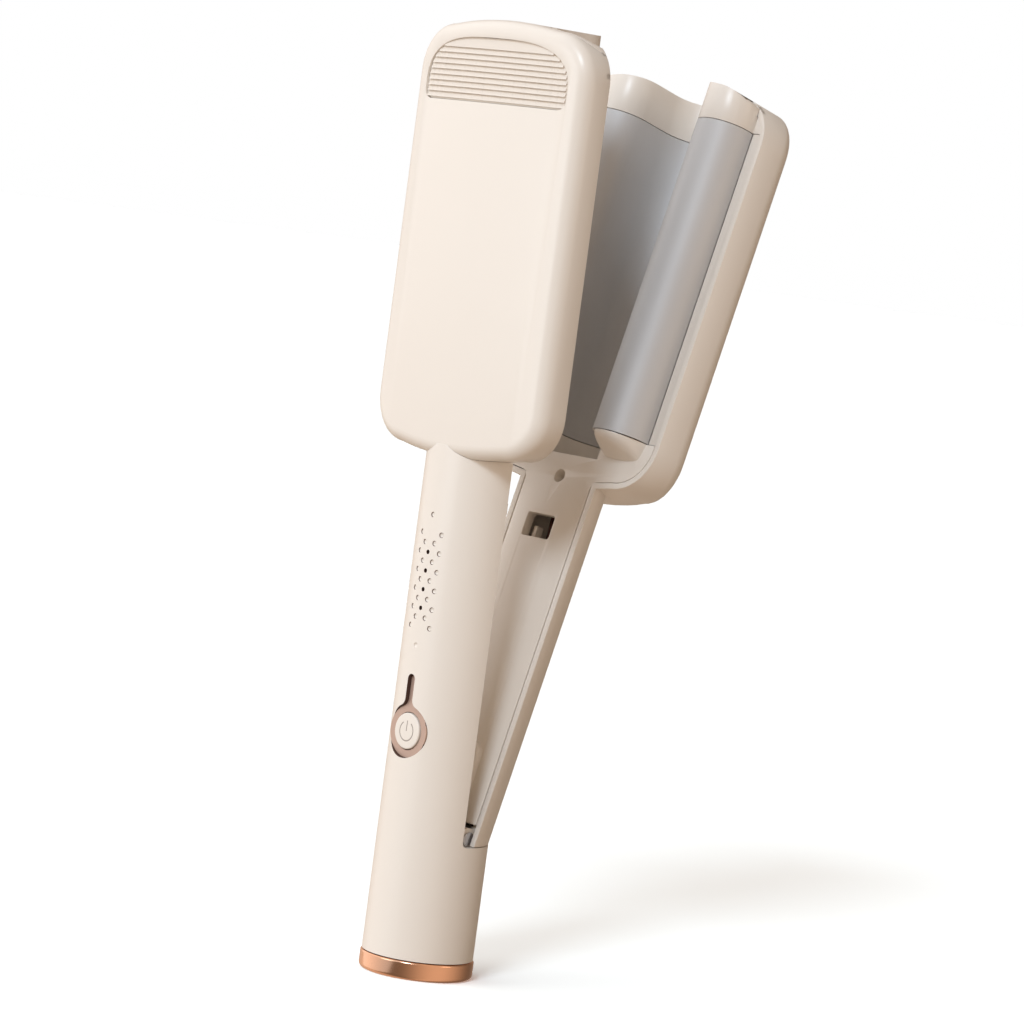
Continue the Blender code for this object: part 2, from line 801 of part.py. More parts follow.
def groove_half(height):
    """Half length of a groove, which stays a margin inside the arch."""
    margin = RIB_PITCH / 2
    shoulder = RIB_BOTTOM + RIB_SIDE_HEIGHT
    if height <= shoulder:
        return RIB_HALF_WIDTH - margin
    share = (height - shoulder) / (RIB_TOP - shoulder)
    turn = math.asin(min(share ** (1 / ARCH_HEIGHT_POWER), 1))
    return RIB_HALF_WIDTH * math.cos(turn) ** ARCH_WIDTH_POWER - margin


def ring_end(name, section, low, high):
    """A flat end wall across the hollow of a wave."""
    return prism(name, section, "Z", low, high)


def make_front_caps():
    """Moulded ends of the front wave, above and below the heating plate."""
    top = HEAD_TOP - GAP
    upper = strip("front_top_cap", front_wave, 0, MOULDING, PLATE_TOP + GAP, top)
    weld(upper, ring_end("end", ridge_section(MOULDING / 2, FRONT_RIM + GAP), top - MOULDING, top))
    keep(upper, FRONT.inner_prism("trim", 0))
    clear_wall(upper, FRONT)
    dress(upper, SHADOW_CREAM, 0.45)

    bottom = FRONT_WAVE_BOTTOM
    high = FRONT_PLATE_BOTTOM - GAP
    lower = strip("front_bottom_cap", front_wave, 0, MOULDING, bottom, high)
    wide = HEAD_HALF_WIDTH
    nose = (-RIDGE_HALF - GAP, FRONT_RIM + GAP, bottom - GAP)
    cut(lower, block("under_nose", nose, (-nose[0], RIDGE_TIP + WALL, FRONT_NOSE_BOTTOM)))
    floor = FRONT_RIM - MOULDING
    panel = block("panel", (-wide, floor, HEAD_BOTTOM), (wide, FRONT_RIM, bottom + MOULDING))
    bridge = (RIDGE_HALF, FRONT_RIM, FRONT_NOSE_BOTTOM + MOULDING)
    weld(panel, block("bridge", (-bridge[0], floor, bottom), bridge))
    section = ridge_section(MOULDING / 2, FRONT_RIM - MOULDING / 2)
    weld(panel, ring_end("end", section, FRONT_NOSE_BOTTOM, bridge[2] - GAP))
    for side in (-1, 1):
        radius = VALLEY_RADIUS + MOULDING / 2
        spread = math.degrees(math.asin((-FRONT_RIM) / radius))
        section = arc((side * BARREL_X, 0), radius, 180 + spread, 360 - spread, 2 * ARC_STEPS)
        weld(panel, prism("valley_end", section, "Z", bottom, bottom + MOULDING))
    weld(lower, panel)
    keep(lower, FRONT.inner_prism("trim", WALL + GAP))
    return upper, dress(lower, SHADOW_CREAM, 0.45)


def clear_wall(cap, head):
    """Trim a cap round the head's own wall, which stands behind its rim."""
    wall = head.solid("wall", 0, head.rim - head.side * GAP)
    cut(wall, head.solid("hollow", WALL + GAP, head.rim - head.side * OVERRUN))
    if head.side < 0:
        radius = VALLEY_RADIUS + MOULDING + GAP
        for side in (-1, 1):
            centre = (side * BARREL_X, 0)
            cut(wall, rod("notch", centre, radius, "Z", PLATE_TOP, HEAD_TOP + OVERRUN, ROUND_STEPS))
    else:
        notch = rear_valley(MOULDING + GAP, head.rim - OVERRUN)
        cut(wall, prism("notch", notch, "Z", PLATE_TOP, HEAD_TOP + OVERRUN))
    return cut(cap, wall)


def make_heating(name, wave, low):
    """A thin wave shaped heating plate."""
    section = wave_without_rim(wave, 1)
    plate = strip(name, section, 0, PLATE_THICKNESS, low, PLATE_TOP)
    return dress(plate, SILVER, 0.32, 0.7)


def carrier_section(centre, half, bar, foot, foot_half, sense):
    """I shaped section of a heater carrier, from its bar to its foot."""
    web = CARRIER_WEB
    bar_end = bar + sense * CARRIER_BAR
    foot_start = foot - sense * CARRIER_FOOT
    right = [
        (half, bar), (half, bar_end), (web, bar_end),
        (web, foot_start), (foot_half, foot_start), (foot_half, foot),
    ]
    return [(centre + u, v) for u, v in right] + [(centre - u, v) for u, v in reversed(right)]


def make_front_heating():
    """Plate, heater, insulator, carrier and sensors of the front arm."""
    make_heating("front_heating_plate", front_wave, FRONT_PLATE_BOTTOM)
    face = RIDGE_TIP - PLATE_THICKNESS - GAP
    back = face - HEATER_THICKNESS
    half = FRONT_HEATER_HALF
    heater = block("front_heater", (-half, back, HEATER_BOTTOM), (half, face, HEATER_TOP))
    dress(heater, CERAMIC, 0.6)
    sheet_face = back - GAP
    sheet_back = sheet_face - INSULATOR_THICKNESS
    sheet = block("front_insulator", (-half, sheet_back, HEATER_BOTTOM), (half, sheet_face, HEATER_TOP))
    dress(sheet, MICA, 0.5)
    bar = sheet_back - GAP
    foot_half = RIDGE_HALF / 2
    foot = FRONT.surface(foot_half, THERMISTOR_Z) + WALL + GAP
    section = carrier_section(0, half, bar, foot, foot_half, -1)
    carrier = prism("front_heater_carrier", section, "Z", CARRIER_BOTTOM, CARRIER_TOP)
    dress(carrier, STEEL, 0.4, 0.9)
    under = bar - CARRIER_BAR - GAP
    beside = CARRIER_WEB + GAP
    centre = (beside + THERMISTOR_RADIUS, under - THERMISTOR_RADIUS)
    high = THERMISTOR_Z + THERMISTOR_LENGTH
    dress(rod("front_thermistor", centre, THERMISTOR_RADIUS, "Z", THERMISTOR_Z, high), BLACK, 0.4)
    centre = (-beside - FUSE_RADIUS, under - FUSE_RADIUS)
    dress(rod("thermal_fuse", centre, FUSE_RADIUS, "Z", FUSE_Z, FUSE_Z + FUSE_LENGTH), CERAMIC, 0.4)


def make_inner_cover():
    """Flat cover on the open side of the grip's front half."""
    high = HEAD_BOTTOM + WALL
    back = CUT_PLANE - COVER_THICKNESS
    low = (-COVER_HALF, back, COVER_BOTTOM)
    cover = block("handle_inner_cover", low, (COVER_HALF, CUT_PLANE, high))
    slot = HOOK_HALF + GAP
    root = HOOK_BOTTOM + BARB_DEPTH - GAP
    cut(cover, block("slot", (-slot, back - GAP, root), (slot, CUT_PLANE + GAP, HOOK_TOP + GAP)))
    seat = CUT_PLANE - COVER_THICKNESS / 2
    for height in COVER_SCREWS:
        cut(cover, rod("hole", (0, height), SCREW_HOLE, "Y", back - GAP, CUT_PLANE + GAP))
        cut(cover, rod("head", (0, height), HEAD_HOLE, "Y", seat, CUT_PLANE + GAP))
    return dress(cover, SHADOW_CREAM, 0.45)


def make_lock_hook():
    """Hook that reaches into the lever's window when the arms are closed."""
    back = CUT_PLANE - COVER_THICKNESS - GAP
    foot = back - MOULDING
    spread = BARB_DEPTH
    root = HOOK_BOTTOM + BARB_DEPTH
    barb = HOOK_REACH - BARB_THICKNESS
    outline = [
        (foot, root - spread), (back, root - spread), (back, root), (barb, root),
        (barb, HOOK_BOTTOM), (HOOK_REACH, root), (HOOK_REACH, HOOK_TOP),
        (back, HOOK_TOP), (back, HOOK_TOP + spread), (foot, HOOK_TOP + spread),
    ]
    return dress(prism("lock_hook", outline, "X", -HOOK_HALF, HOOK_HALF), CREAM, 0.45)


def make_electronics():
    """Circuit board with its switch, lights and light guides, and the screws that hold it."""
    back = BOARD_FRONT + BOARD_THICKNESS
    board = block("circuit_board", (-BOARD_HALF, BOARD_FRONT, BOARD_BOTTOM), (BOARD_HALF, back, BOARD_TOP))
    fixings = []
    for height in BOARD_SCREWS:
        cut(board, rod("hole", (0, height), SCREW_HOLE, "Y", BOARD_FRONT - GAP, back + GAP))
        fixings.append(screw("board_screw", 0, height, back, -1))
    dress(board, GREEN, 0.5)
    seat = CUT_PLANE - COVER_THICKNESS / 2
    for height in COVER_SCREWS:
        fixings.append(screw("cover_screw", 0, height, seat, -1))
    dress_set("handle_screw", fixings, STEEL, 0.3, 1.0)
    front = BOARD_FRONT - GAP
    half = SWITCH_HALF
    low = (-half, front - SWITCH_HEIGHT, BUTTON_Z - half)
    switch = block("tact_switch", low, (half, front, BUTTON_Z + half))
    tip = plunger_tip()
    weld(switch, rod("plunger", (0, BUTTON_Z), PLUNGER_RADIUS, "Y", tip, front - SWITCH_HEIGHT / 2))
    dress(switch, BLACK, 0.4)
    lights = []
    guide = light_guide_bar(front)
    for index in range(LIGHT_COUNT):
        height = LIGHT_FIRST - index * LIGHT_PITCH
        low = (-LED_HALF, front - LED_HEIGHT, height - LED_HALF)
        lights.append(block("light", low, (LED_HALF, front, height + LED_HALF)))
        start = -(GRIP_RADIUS - GRIP_WALL) + GAP
        weld(guide, rod("pipe", (0, height), LENS_RADIUS, "Y", start, front - LED_HEIGHT - GAP))
    dress_set("indicator_light", lights, CERAMIC, 0.3)
    dress(guide, CLEAR, 0.2)


def light_guide_bar(front):
    """Bar that joins the light pipes, a little in front of the lights."""
    half = LENS_RADIUS * 2
    end = front - LED_HEIGHT - 4 * GAP
    low = LIGHT_FIRST - (LIGHT_COUNT - 1) * LIGHT_PITCH - half
    return block("light_guide", (-half, end - LENS_RADIUS, low), (half, end, LIGHT_FIRST + half))


def plunger_tip():
    """Face of the switch plunger, which the button meets when fully pressed."""
    return BUTTON_FLANGE_Y + 2 * BUTTON_FLANGE_THICKNESS + BUTTON_TRAVEL


def make_button():
    """Rose surround, sliding power button and the spring behind it."""
    outer = GRIP_RADIUS - BEZEL_DEPTH
    inner = GRIP_RADIUS - GRIP_WALL - GAP
    far = GRIP_RADIUS + OVERRUN
    low = BUTTON_Z - 2 * BEZEL_RADIUS
    high = BEZEL_TAIL_TOP + BEZEL_RADIUS
    surround = tube("button_surround", (0, 0), outer, inner - MOULDING, "Z", low, high, ROUND_STEPS)
    keep(surround, prism("outline", bezel_outline(-GAP), "Y", -far, 0))
    flange = tube("flange", (0, 0), inner, inner - MOULDING, "Z", low, high, ROUND_STEPS)
    keep(flange, prism("outline", bezel_outline(MOULDING), "Y", -far, 0))
    weld(surround, flange)
    cut(surround, rod("bore", (0, BUTTON_Z), BUTTON_RADIUS + GAP, "Y", -far, 0, 2 * SMALL_STEPS))
    dress(surround, ROSE, 0.4, 0.3)
    front = -(GRIP_RADIUS + BUTTON_PROUD)
    back = BUTTON_FLANGE_Y + BUTTON_FLANGE_THICKNESS
    button = rod("power_button", (0, BUTTON_Z), BUTTON_RADIUS, "Y", front, back, 2 * SMALL_STEPS)
    weld(button, rod("flange", (0, BUTTON_Z), BUTTON_FLANGE, "Y", BUTTON_FLANGE_Y, back, 2 * SMALL_STEPS))
    stem_end = plunger_tip() - BUTTON_TRAVEL - GAP / 2
    weld(button, rod("stem", (0, BUTTON_Z), PLUNGER_RADIUS, "Y", back - GAP, stem_end))
    dress(button, CREAM, 0.4)
    start = back + BUTTON_TRAVEL + SPRING_WIRE + GAP / 2
    end = BOARD_FRONT - SPRING_WIRE - GAP
    spring = coil("button_spring", (0, BUTTON_Z), BUTTON_SPRING_RADIUS, SPRING_WIRE, "Y", start, end,
                  BUTTON_SPRING_TURNS)
    dress(spring, STEEL, 0.3, 1.0)


def make_hinge():
    """Bracket in the top of the base, with the pin, its clips and the return spring."""
    radius = GRIP_RADIUS - GRIP_WALL - GAP
    bracket = rod("hinge_bracket", (0, 0), radius, "Z", DECK_TOP - DECK_THICKNESS, DECK_TOP, ROUND_STEPS)
    reach = LUG_RADIUS + GAP
    for side in (-1, 1):
        low, high = sorted((side * EAR_INNER, side * (EAR_INNER + EAR_THICKNESS)))
        ear = rod("ear", (PIVOT_Y, PIVOT_Z), reach, "X", low, high, 2 * SMALL_STEPS)
        foot = (low, PIVOT_Y - reach, DECK_TOP - DECK_THICKNESS / 2)
        weld(ear, block("ear_foot", foot, (high, PIVOT_Y + reach, PIVOT_Z)))
        weld(bracket, ear)
    far = GRIP_RADIUS
    cut(bracket, rod("pin_hole", (PIVOT_Y, PIVOT_Z), PIN_RADIUS + PIN_FIT, "X", -far, far, 2 * SMALL_STEPS))
    width = 2 * WIRE_RADIUS
    for side in (-1, 1):
        centre = (side * WIRE_X, WIRE_Y)
        cut(bracket, rod("wire_hole", centre, width, "Z", DECK_TOP - 2 * DECK_THICKNESS, DECK_TOP + GAP))
    dress(bracket, STEEL, 0.4, 0.8)
    clip = LUG_INNER + LUG_THICKNESS + GAP
    end = clip + CLIP_THICKNESS
    pin = rod("hinge_pin", (PIVOT_Y, PIVOT_Z), PIN_RADIUS, "X", -end, end, 2 * SMALL_STEPS)
    dress(pin, STEEL, 0.25, 1.0)
    clips = []
    for side in (-1, 1):
        low, high = sorted((side * clip, side * end))
        outer = PIN_RADIUS + 2 * GAP
        bore = PIN_RADIUS + PIN_FIT
        clips.append(tube("clip", (PIVOT_Y, PIVOT_Z), outer, bore, "X", low, high, 2 * SMALL_STEPS))
    dress_set("pin_clip", clips, STEEL, 0.3, 1.0)
    half = EAR_INNER - RETURN_WIRE - GAP
    radius = PIN_RADIUS + RETURN_WIRE + GAP
    centre = (PIVOT_Y, PIVOT_Z)
    spring = coil("return_spring", centre, radius, RETURN_WIRE, "X", -half, half, RETURN_TURNS)
    dress(spring, STEEL, 0.3, 1.0)


def make_base():
    """Copper coloured ring, plate, cord bush and terminal block of the base."""
    top = BASE_BOTTOM + RING_HEIGHT
    inner = GRIP_RADIUS - RING_WALL
    ring = tube("base_ring", (0, 0), GRIP_RADIUS, inner, "Z", BASE_BOTTOM, top, ROUND_STEPS)
    bevel_low_edge(ring)
    dress(ring, COPPER, 0.25, 0.9)
    low = BASE_BOTTOM + BASE_PLATE_LIFT
    high = low + BASE_PLATE_THICKNESS
    plate = rod("base_plate", (0, 0), inner - GAP, "Z", low, high, ROUND_STEPS)
    cut(plate, rod("bush_hole", (0, 0), GLAND_OUTER + GAP, "Z", low - GAP, high + GAP))
    fixings = []
    boss = top + GAP
    for side in (-1, 1):
        centre = (side * BASE_BOSS_X, 0)
        post = rod("post", centre, BOSS_RADIUS, "Z", high - GAP, boss - GAP)
        weld(plate, post)
        cut(plate, rod("hole", centre, SCREW_HOLE, "Z", low - GAP, boss + GAP))
        cut(plate, rod("head", centre, HEAD_HOLE, "Z", low - GAP, low + SCREW_HEAD_HEIGHT + GAP))
        seat = low + SCREW_HEAD_HEIGHT
        shank = rod("base_screw", centre, SCREW_RADIUS, "Z", seat - GAP, boss + SCREW_LENGTH)
        weld(shank, rod("screw_head", centre, SCREW_HEAD, "Z", low, seat))
        fixings.append(shank)
    dress(plate, CREAM, 0.5)
    dress_set("base_screw", fixings, STEEL, 0.3, 1.0)
    flange = low - GAP
    bottom = flange - GLAND_FLANGE_THICKNESS
    bush = tube("cord_bush", (0, 0), GLAND_OUTER, GLAND_BORE, "Z", bottom, GLAND_TOP)
    weld(bush, tube("flange", (0, 0), GLAND_FLANGE, GLAND_BORE, "Z", bottom, flange))
    clip = high + GAP
    weld(bush, tube("collar", (0, 0), GLAND_FLANGE, GLAND_BORE, "Z", clip, clip + GLAND_CLIP_THICKNESS))
    dress(bush, BLACK, 0.6)
    low = GLAND_TOP + GAP
    size = (TERMINAL_HALF, TERMINAL_DEPTH)
    terminal = block("terminal_block", (-size[0], -size[1], low), (size[0], size[1], low + TERMINAL_HEIGHT))
    dress(terminal, CERAMIC, 0.5)


def bevel_low_edge(ring):
    """Chamfer the outer lower edge of the base ring."""
    far = GRIP_RADIUS + OVERRUN
    wedge = bmesh.new()
    low = BASE_BOTTOM
    profile = [(GRIP_RADIUS - RING_CHAMFER, low - GAP), (far, low - GAP), (far, low + RING_CHAMFER),
               (GRIP_RADIUS + GAP, low + RING_CHAMFER)]
    rings = []
    for radius, height in profile:
        rings.append([wedge.verts.new((u, v, height)) for u, v in circle((0, 0), radius, ROUND_STEPS)])
    for index, loop in enumerate(rings):
        following = rings[(index + 1) % len(rings)]
        for step in range(ROUND_STEPS):
            after = (step + 1) % ROUND_STEPS
            wedge.faces.new((loop[step], loop[after], following[after], following[step]))
    return cut(ring, as_object("wedge", wedge))


def make_front_wires():
    """Mains wires up to the board, and heater wires from the board to the head."""
    start = GLAND_TOP + TERMINAL_HEIGHT + 2 * GAP
    end = BOARD_BOTTOM - GAP
    middle = (start + DECK_TOP) / 2
    routes = []
    for side in (-1, 1):
        across = side * WIRE_X
        inner = side * TERMINAL_HALF / 2
        routes.append([(inner, 0, start), (inner, 0, start + 6 * WIRE_RADIUS), (across, WIRE_Y, middle),
                       (across, WIRE_Y, DECK_TOP), (across, WIRE_Y, end)])
    wires("mains_wire", routes, BLACK)
    start = BOARD_TOP + GAP
    heater = RIDGE_TIP - PLATE_THICKNESS - HEATER_THICKNESS
    across = FRONT_HEATER_HALF / 2
    end = HEATER_BOTTOM - GAP
    over = FRONT_NOSE_BOTTOM + 2 * MOULDING
    routes = []
    for side in (-1, 1):
        routes.append([(side * WIRE_X, WIRE_Y, start), (side * WIRE_X, WIRE_Y, HEAD_BOTTOM),
                       (side * WIRE_X, WIRE_Y, over), (side * across, heater / 2, (over + end) / 2),
                       (side * across, heater, end - 6 * WIRE_RADIUS), (side * across, heater, end)])
    wires("front_heater_wire", routes, RED)


def stop_outline():
    """Everything below the plane in which the lever's foot meets the base when open."""
    level = BASE_RIM + STOP_GAP - PIVOT_Z
    slope = math.tan(OPEN_ANGLE)
    crossing = PIVOT_Z + level / math.cos(OPEN_ANGLE)
    near = -GRIP_RADIUS
    far = GRIP_RADIUS + OVERRUN
    floor = BASE_BOTTOM
    return [
        (near, crossing + (near - PIVOT_Y) * slope), (far, crossing + (far - PIVOT_Y) * slope),
        (far, floor), (near, floor),
    ]


def make_lever_shell():
    """Outer half of the lever arm: half a grip and the rear head in one moulding."""
    far = GRIP_RADIUS + OVERRUN
    low = BASE_RIM - 2 * LUG_RADIUS
    shell = rod("lever_shell", (0, 0), GRIP_RADIUS, "Z", low, REAR_BOTTOM + 2 * WALL, ROUND_STEPS)
    cut(shell, block("front_half", (-far, -far, low - GAP), (far, REAR_RIM, REAR_TOP)))
    cut(shell, prism("stop", stop_outline(), "X", -far, far))
    weld(shell, REAR.solid("head"))
    cut(shell, REAR.solid("inside", WALL, REAR_RIM - OVERRUN))
    inner = GRIP_RADIUS - GRIP_WALL
    cut(shell, rod("bore", (0, 0), inner, "Z", low - OVERRUN, REAR_BOTTOM + 3 * WALL, ROUND_STEPS))
    notch = rear_valley(MOULDING + 2 * GAP, -far)
    cut(shell, prism("notch", notch, "Z", PLATE_TOP, REAR_TOP + OVERRUN))
    for side in (-1, 1):
        edge = BARREL_X + REAR_RIDGE_RADIUS + GAP
        ends = sorted((side * edge, side * (HEAD_HALF_WIDTH - WALL / 2)))
        low_corner = (ends[0], REAR_LEDGE, REAR_PLATE_BOTTOM)
        weld(shell, block("ledge", low_corner, (ends[1], REAR_LEDGE + MOULDING, PLATE_TOP)))
    add_lugs(shell)
    for height in LEVER_SCREWS:
        cut(shell, rod("hole", (0, height), SCREW_HOLE, "Y", 0, far))
        cut(shell, rod("head", (0, height), HEAD_HOLE, "Y", GRIP_RADIUS - GRIP_WALL / 2, far))
    stem = LOCK_STEM_HALF + GAP
    bottom = catch_bottom()
    cut(shell, block("lock_slot", (-stem, 0, bottom - GAP), (stem, far, stem_top() + LOCK_TRAVEL + GAP)))
    return dress(shell, CREAM, 0.42)


def add_lugs(shell):
    """Two hinge lugs with arms that run up inside the lever shell."""
    behind = REAR_RIM + MOULDING + 2 * GAP
    deep = GRIP_RADIUS * LUG_DEPTH_SHARE
    clear = LEVER_COVER_BOTTOM - 2 * GAP
    arm = [
        (PIVOT_Y, PIVOT_Z), (PIVOT_Y + LUG_RADIUS, PIVOT_Z), (deep, clear),
        (deep, clear + LUG_ARM), (behind, clear + LUG_ARM), (behind, clear),
        (PIVOT_Y, PIVOT_Z + LUG_RADIUS / 2),
    ]
    for side in (-1, 1):
        low, high = sorted((side * LUG_INNER, side * (LUG_INNER + LUG_THICKNESS)))
        lug = rod("lug", (PIVOT_Y, PIVOT_Z), LUG_RADIUS, "X", low, high, 2 * SMALL_STEPS)
        weld(lug, prism("arm", arm, "X", low, high))
        bore = PIN_RADIUS + PIN_FIT
        cut(lug, rod("pin_hole", (PIVOT_Y, PIVOT_Z), bore, "X", low - GAP, high + GAP, 2 * SMALL_STEPS))
        weld(shell, lug)


def catch_bottom():
    """Lower edge of the catch in its unlocked place."""
    return CATCH_BAR_TOP - CATCH_BAR


def stem_top():
    """Upper edge of the slider's stem, which passes below the hook's barb when it is locked."""
    return HOOK_BOTTOM - LOCK_TRAVEL - GAP


def rear_valley(offset, mouth):
    """Section of the rear valley, closed along its mouth."""
    half = REAR_VALLEY_HALF + offset
    corner = REAR_VALLEY_CORNER + offset
    floor = REAR_VALLEY_FLOOR + offset
    right = [(half, mouth)] + arc((half - corner, floor - corner), corner, 0, 90, ARC_STEPS)
    return mirrored(right)


def make_lever_cover():
    """Inner face of the lever: flat panel, hinge hump, lock window and ridge noses."""
    behind = REAR_RIM + MOULDING
    high = REAR_PLATE_BOTTOM - GAP
    wide = HEAD_HALF_WIDTH
    cover = block("lever_inner_cover", (-wide, REAR_RIM, REAR_BOTTOM), (wide, behind, high))
    keep(cover, REAR.inner_prism("trim", WALL + GAP))
    neck = REAR_BOTTOM + 2 * WALL
    corner = (-LEVER_COVER_HALF, REAR_RIM, LEVER_COVER_BOTTOM)
    weld(cover, block("panel", corner, (LEVER_COVER_HALF, behind, neck)))
    valley = REAR_VALLEY_HALF + MOULDING / 2
    cut(cover, block("recess", (-valley, 0, RECESS_BOTTOM), (valley, behind + GAP, high + GAP)))
    trough = strip("trough", rear_wave, 0, MOULDING, RECESS_BOTTOM, high)
    side = REAR_VALLEY_HALF + MOULDING
    keep(trough, block("middle", (-side, REAR_RIM, RECESS_BOTTOM - GAP), (side, wide, high + GAP)))
    end = rear_valley(MOULDING, REAR_RIM)
    weld(trough, prism("end", end, "Z", RECESS_BOTTOM - MOULDING, RECESS_BOTTOM))
    weld(cover, trough)
    for sense in (-1, 1):
        weld(cover, barrel_nose("nose", sense * BARREL_X))
    cut(cover, block("window", (-WINDOW_HALF, 0, WINDOW_BOTTOM), (WINDOW_HALF, behind + GAP, WINDOW_TOP)))
    cut(cover, rod("hole", (0, HOLE_Z), HOLE_RADIUS, "Y", 0, behind + GAP, 2 * SMALL_STEPS))
    weld(cover, prism("hump", hump_outline(), "Y", REAR_RIM - HUMP_PROUD, behind - GAP))
    for height in LEVER_SCREWS:
        end = GRIP_RADIUS - GRIP_WALL - GAP
        weld(cover, rod("boss", (0, height), BOSS_RADIUS, "Y", behind - GAP, end))
        cut(cover, rod("pilot", (0, height), SCREW_HOLE, "Y", end - SCREW_LENGTH, end + GAP))
    return dress(cover, CREAM, 0.42)


def hump_outline():
    """Outline of the hump that covers the hinge spring, rounded at its top."""
    right = [(HUMP_HALF, HUMP_BOTTOM)]
    right += arc((HUMP_HALF - HUMP_ROUND, HUMP_TOP - HUMP_ROUND), HUMP_ROUND, 0, 90, ARC_STEPS)
    return mirrored(right)


def make_rear_cap():
    """Moulded upper end of the rear wave."""
    top = REAR_TOP - GAP
    cap = strip("rear_top_cap", rear_wave, 0, MOULDING, PLATE_TOP + GAP, top)
    for side in (-1, 1):
        radius = REAR_RIDGE_RADIUS - MOULDING / 2
        section = barrel(side * BARREL_X, radius, REAR_LEDGE + MOULDING / 2, 2 * ARC_STEPS)
        weld(cap, prism("end", section, "Z", top - REAR_END_DROP, top - REAR_END_DROP + MOULDING))
    keep(cap, REAR.inner_prism("trim", 0))
    clear_wall(cap, REAR)
    return dress(cap, CREAM, 0.42)


def make_rear_heating():
    """Plate and, in each ridge, a heater with its insulator and carrier."""
    make_heating("rear_heating_plate", rear_wave, REAR_PLATE_BOTTOM)
    inner = REAR_RIDGE_RADIUS - PLATE_THICKNESS - GAP
    half = REAR_HEATER_HALF
    face = -math.sqrt(inner ** 2 - half ** 2)
    heaters = []
    sheets = []
    carriers = []
    back = face + HEATER_THICKNESS
    sheet_face = back + GAP
    sheet_back = sheet_face + INSULATOR_THICKNESS
    bar = sheet_back + GAP
    for side in (-1, 1):
        centre = side * BARREL_X
        low = (centre - half, face, HEATER_BOTTOM)
        heaters.append(block("heater", low, (centre + half, back, HEATER_TOP)))
        low = (centre - half, sheet_face, HEATER_BOTTOM)
        sheets.append(block("sheet", low, (centre + half, sheet_back, HEATER_TOP)))
        outer = BARREL_X + half
        foot = REAR.surface(outer, THERMISTOR_Z) - WALL - GAP
        section = carrier_section(centre, half, bar, foot, half, 1)
        carriers.append(prism("carrier", section, "Z", CARRIER_BOTTOM, CARRIER_TOP))
    dress_set("rear_heater", heaters, CERAMIC, 0.6)
    dress_set("rear_insulator", sheets, MICA, 0.5)
    dress_set("rear_heater_carrier", carriers, STEEL, 0.4, 0.9)
    under = bar + CARRIER_BAR + GAP
    beside = BARREL_X - CARRIER_WEB - GAP
    centre = (beside - THERMISTOR_RADIUS, under + THERMISTOR_RADIUS)
    high = THERMISTOR_Z + THERMISTOR_LENGTH
    dress(rod("rear_thermistor", centre, THERMISTOR_RADIUS, "Z", THERMISTOR_Z, high), BLACK, 0.4)
    heater = (face + back) / 2
    end = HEATER_BOTTOM - GAP
    neck = GRIP_RADIUS - GRIP_WALL - 4 * WIRE_RADIUS
    passage = (REAR_BOTTOM + WALL + RECESS_BOTTOM - MOULDING) / 2
    routes = []
    for side in (-1, 1):
        narrow = side * neck * LEVER_WIRE_SHARE
        routes.append([
            (side * WIRE_X, LEVER_WIRE_Y, LEVER_COVER_BOTTOM), (side * WIRE_X, LEVER_WIRE_Y, BOARD_TOP),
            (narrow, LEVER_WIRE_Y, REAR_BOTTOM), (narrow + side * WALL, LEVER_WIRE_Y, passage),
            (side * BARREL_X, LEVER_WIRE_Y, REAR_NOSE_BOTTOM),
            (side * BARREL_X, LEVER_WIRE_Y, REAR_PLATE_BOTTOM),
            (side * BARREL_X, heater / 2, end - 6 * WIRE_RADIUS),
            (side * BARREL_X, heater, end - 3 * WIRE_RADIUS),
            (side * BARREL_X, heater, end),
        ])
    wires("rear_heater_wire", routes, RED)


def make_lock():
    """Lock slider: a catch behind the window, a stem through the shell and a thumb knob."""
    low = REAR_RIM + MOULDING + GAP
    high = low + CATCH_THICKNESS
    bottom = catch_bottom()
    outer = CATCH_POST_INNER + CATCH_POST_WIDTH
    slider = block("lock_slider", (-outer, low, bottom), (outer, high, CATCH_BAR_TOP))
    for side in (-1, 1):
        ends = sorted((side * CATCH_POST_INNER, side * outer))
        corner = (ends[1], high, CATCH_BAR_TOP + CATCH_POST_HEIGHT)
        weld(slider, block("post", (ends[0], low, bottom + GAP), corner))
    knob_seat = GRIP_RADIUS + GAP
    stem = (LOCK_STEM_HALF, knob_seat + GAP, stem_top())
    weld(slider, block("stem", (-LOCK_STEM_HALF, high - GAP, bottom), stem))
    middle = (bottom + stem_top()) / 2
    half = KNOB_HEIGHT / 2
    corner = (KNOB_HALF, knob_seat + KNOB_DEPTH, middle + half)
    weld(slider, block("knob", (-KNOB_HALF, knob_seat, middle - half), corner))
    return dress(slider, CREAM, 0.4)


def make_lever_screws():
    """Screws that close the lever from behind."""
    fixings = []
    seat = GRIP_RADIUS - GRIP_WALL / 2
    for height in LEVER_SCREWS:
        fixings.append(screw("screw", 0, height, seat, -1))
    dress_set("lever_screw", fixings, STEEL, 0.3, 1.0, ("lower", "upper"))


LEVER_PIECES = ("lever_", "rear_", "lock_slider")


def open_lever():
    """Hang the lever's pieces on an empty at the hinge and turn it open."""
    hinge = bpy.data.objects.new("lever_hinge", None)
    bpy.context.scene.collection.objects.link(hinge)
    pivot = Vector((0, PIVOT_Y, PIVOT_Z))
    hinge.location = pivot
    hinge.rotation_euler = (-OPEN_ANGLE, 0, 0)
    for piece in list(bpy.data.objects):
        if piece is not hinge and piece.name.startswith(LEVER_PIECES):
            piece.data.transform(Matrix.Translation(-pivot))
            piece.parent = hinge


def set_button_origin():
    """Put the button's origin on its sliding axis."""
    button = bpy.data.objects["power_button"]
    centre = Vector((0, -GRIP_RADIUS, BUTTON_Z))
    button.data.transform(Matrix.Translation(-centre))
    button.location = centre


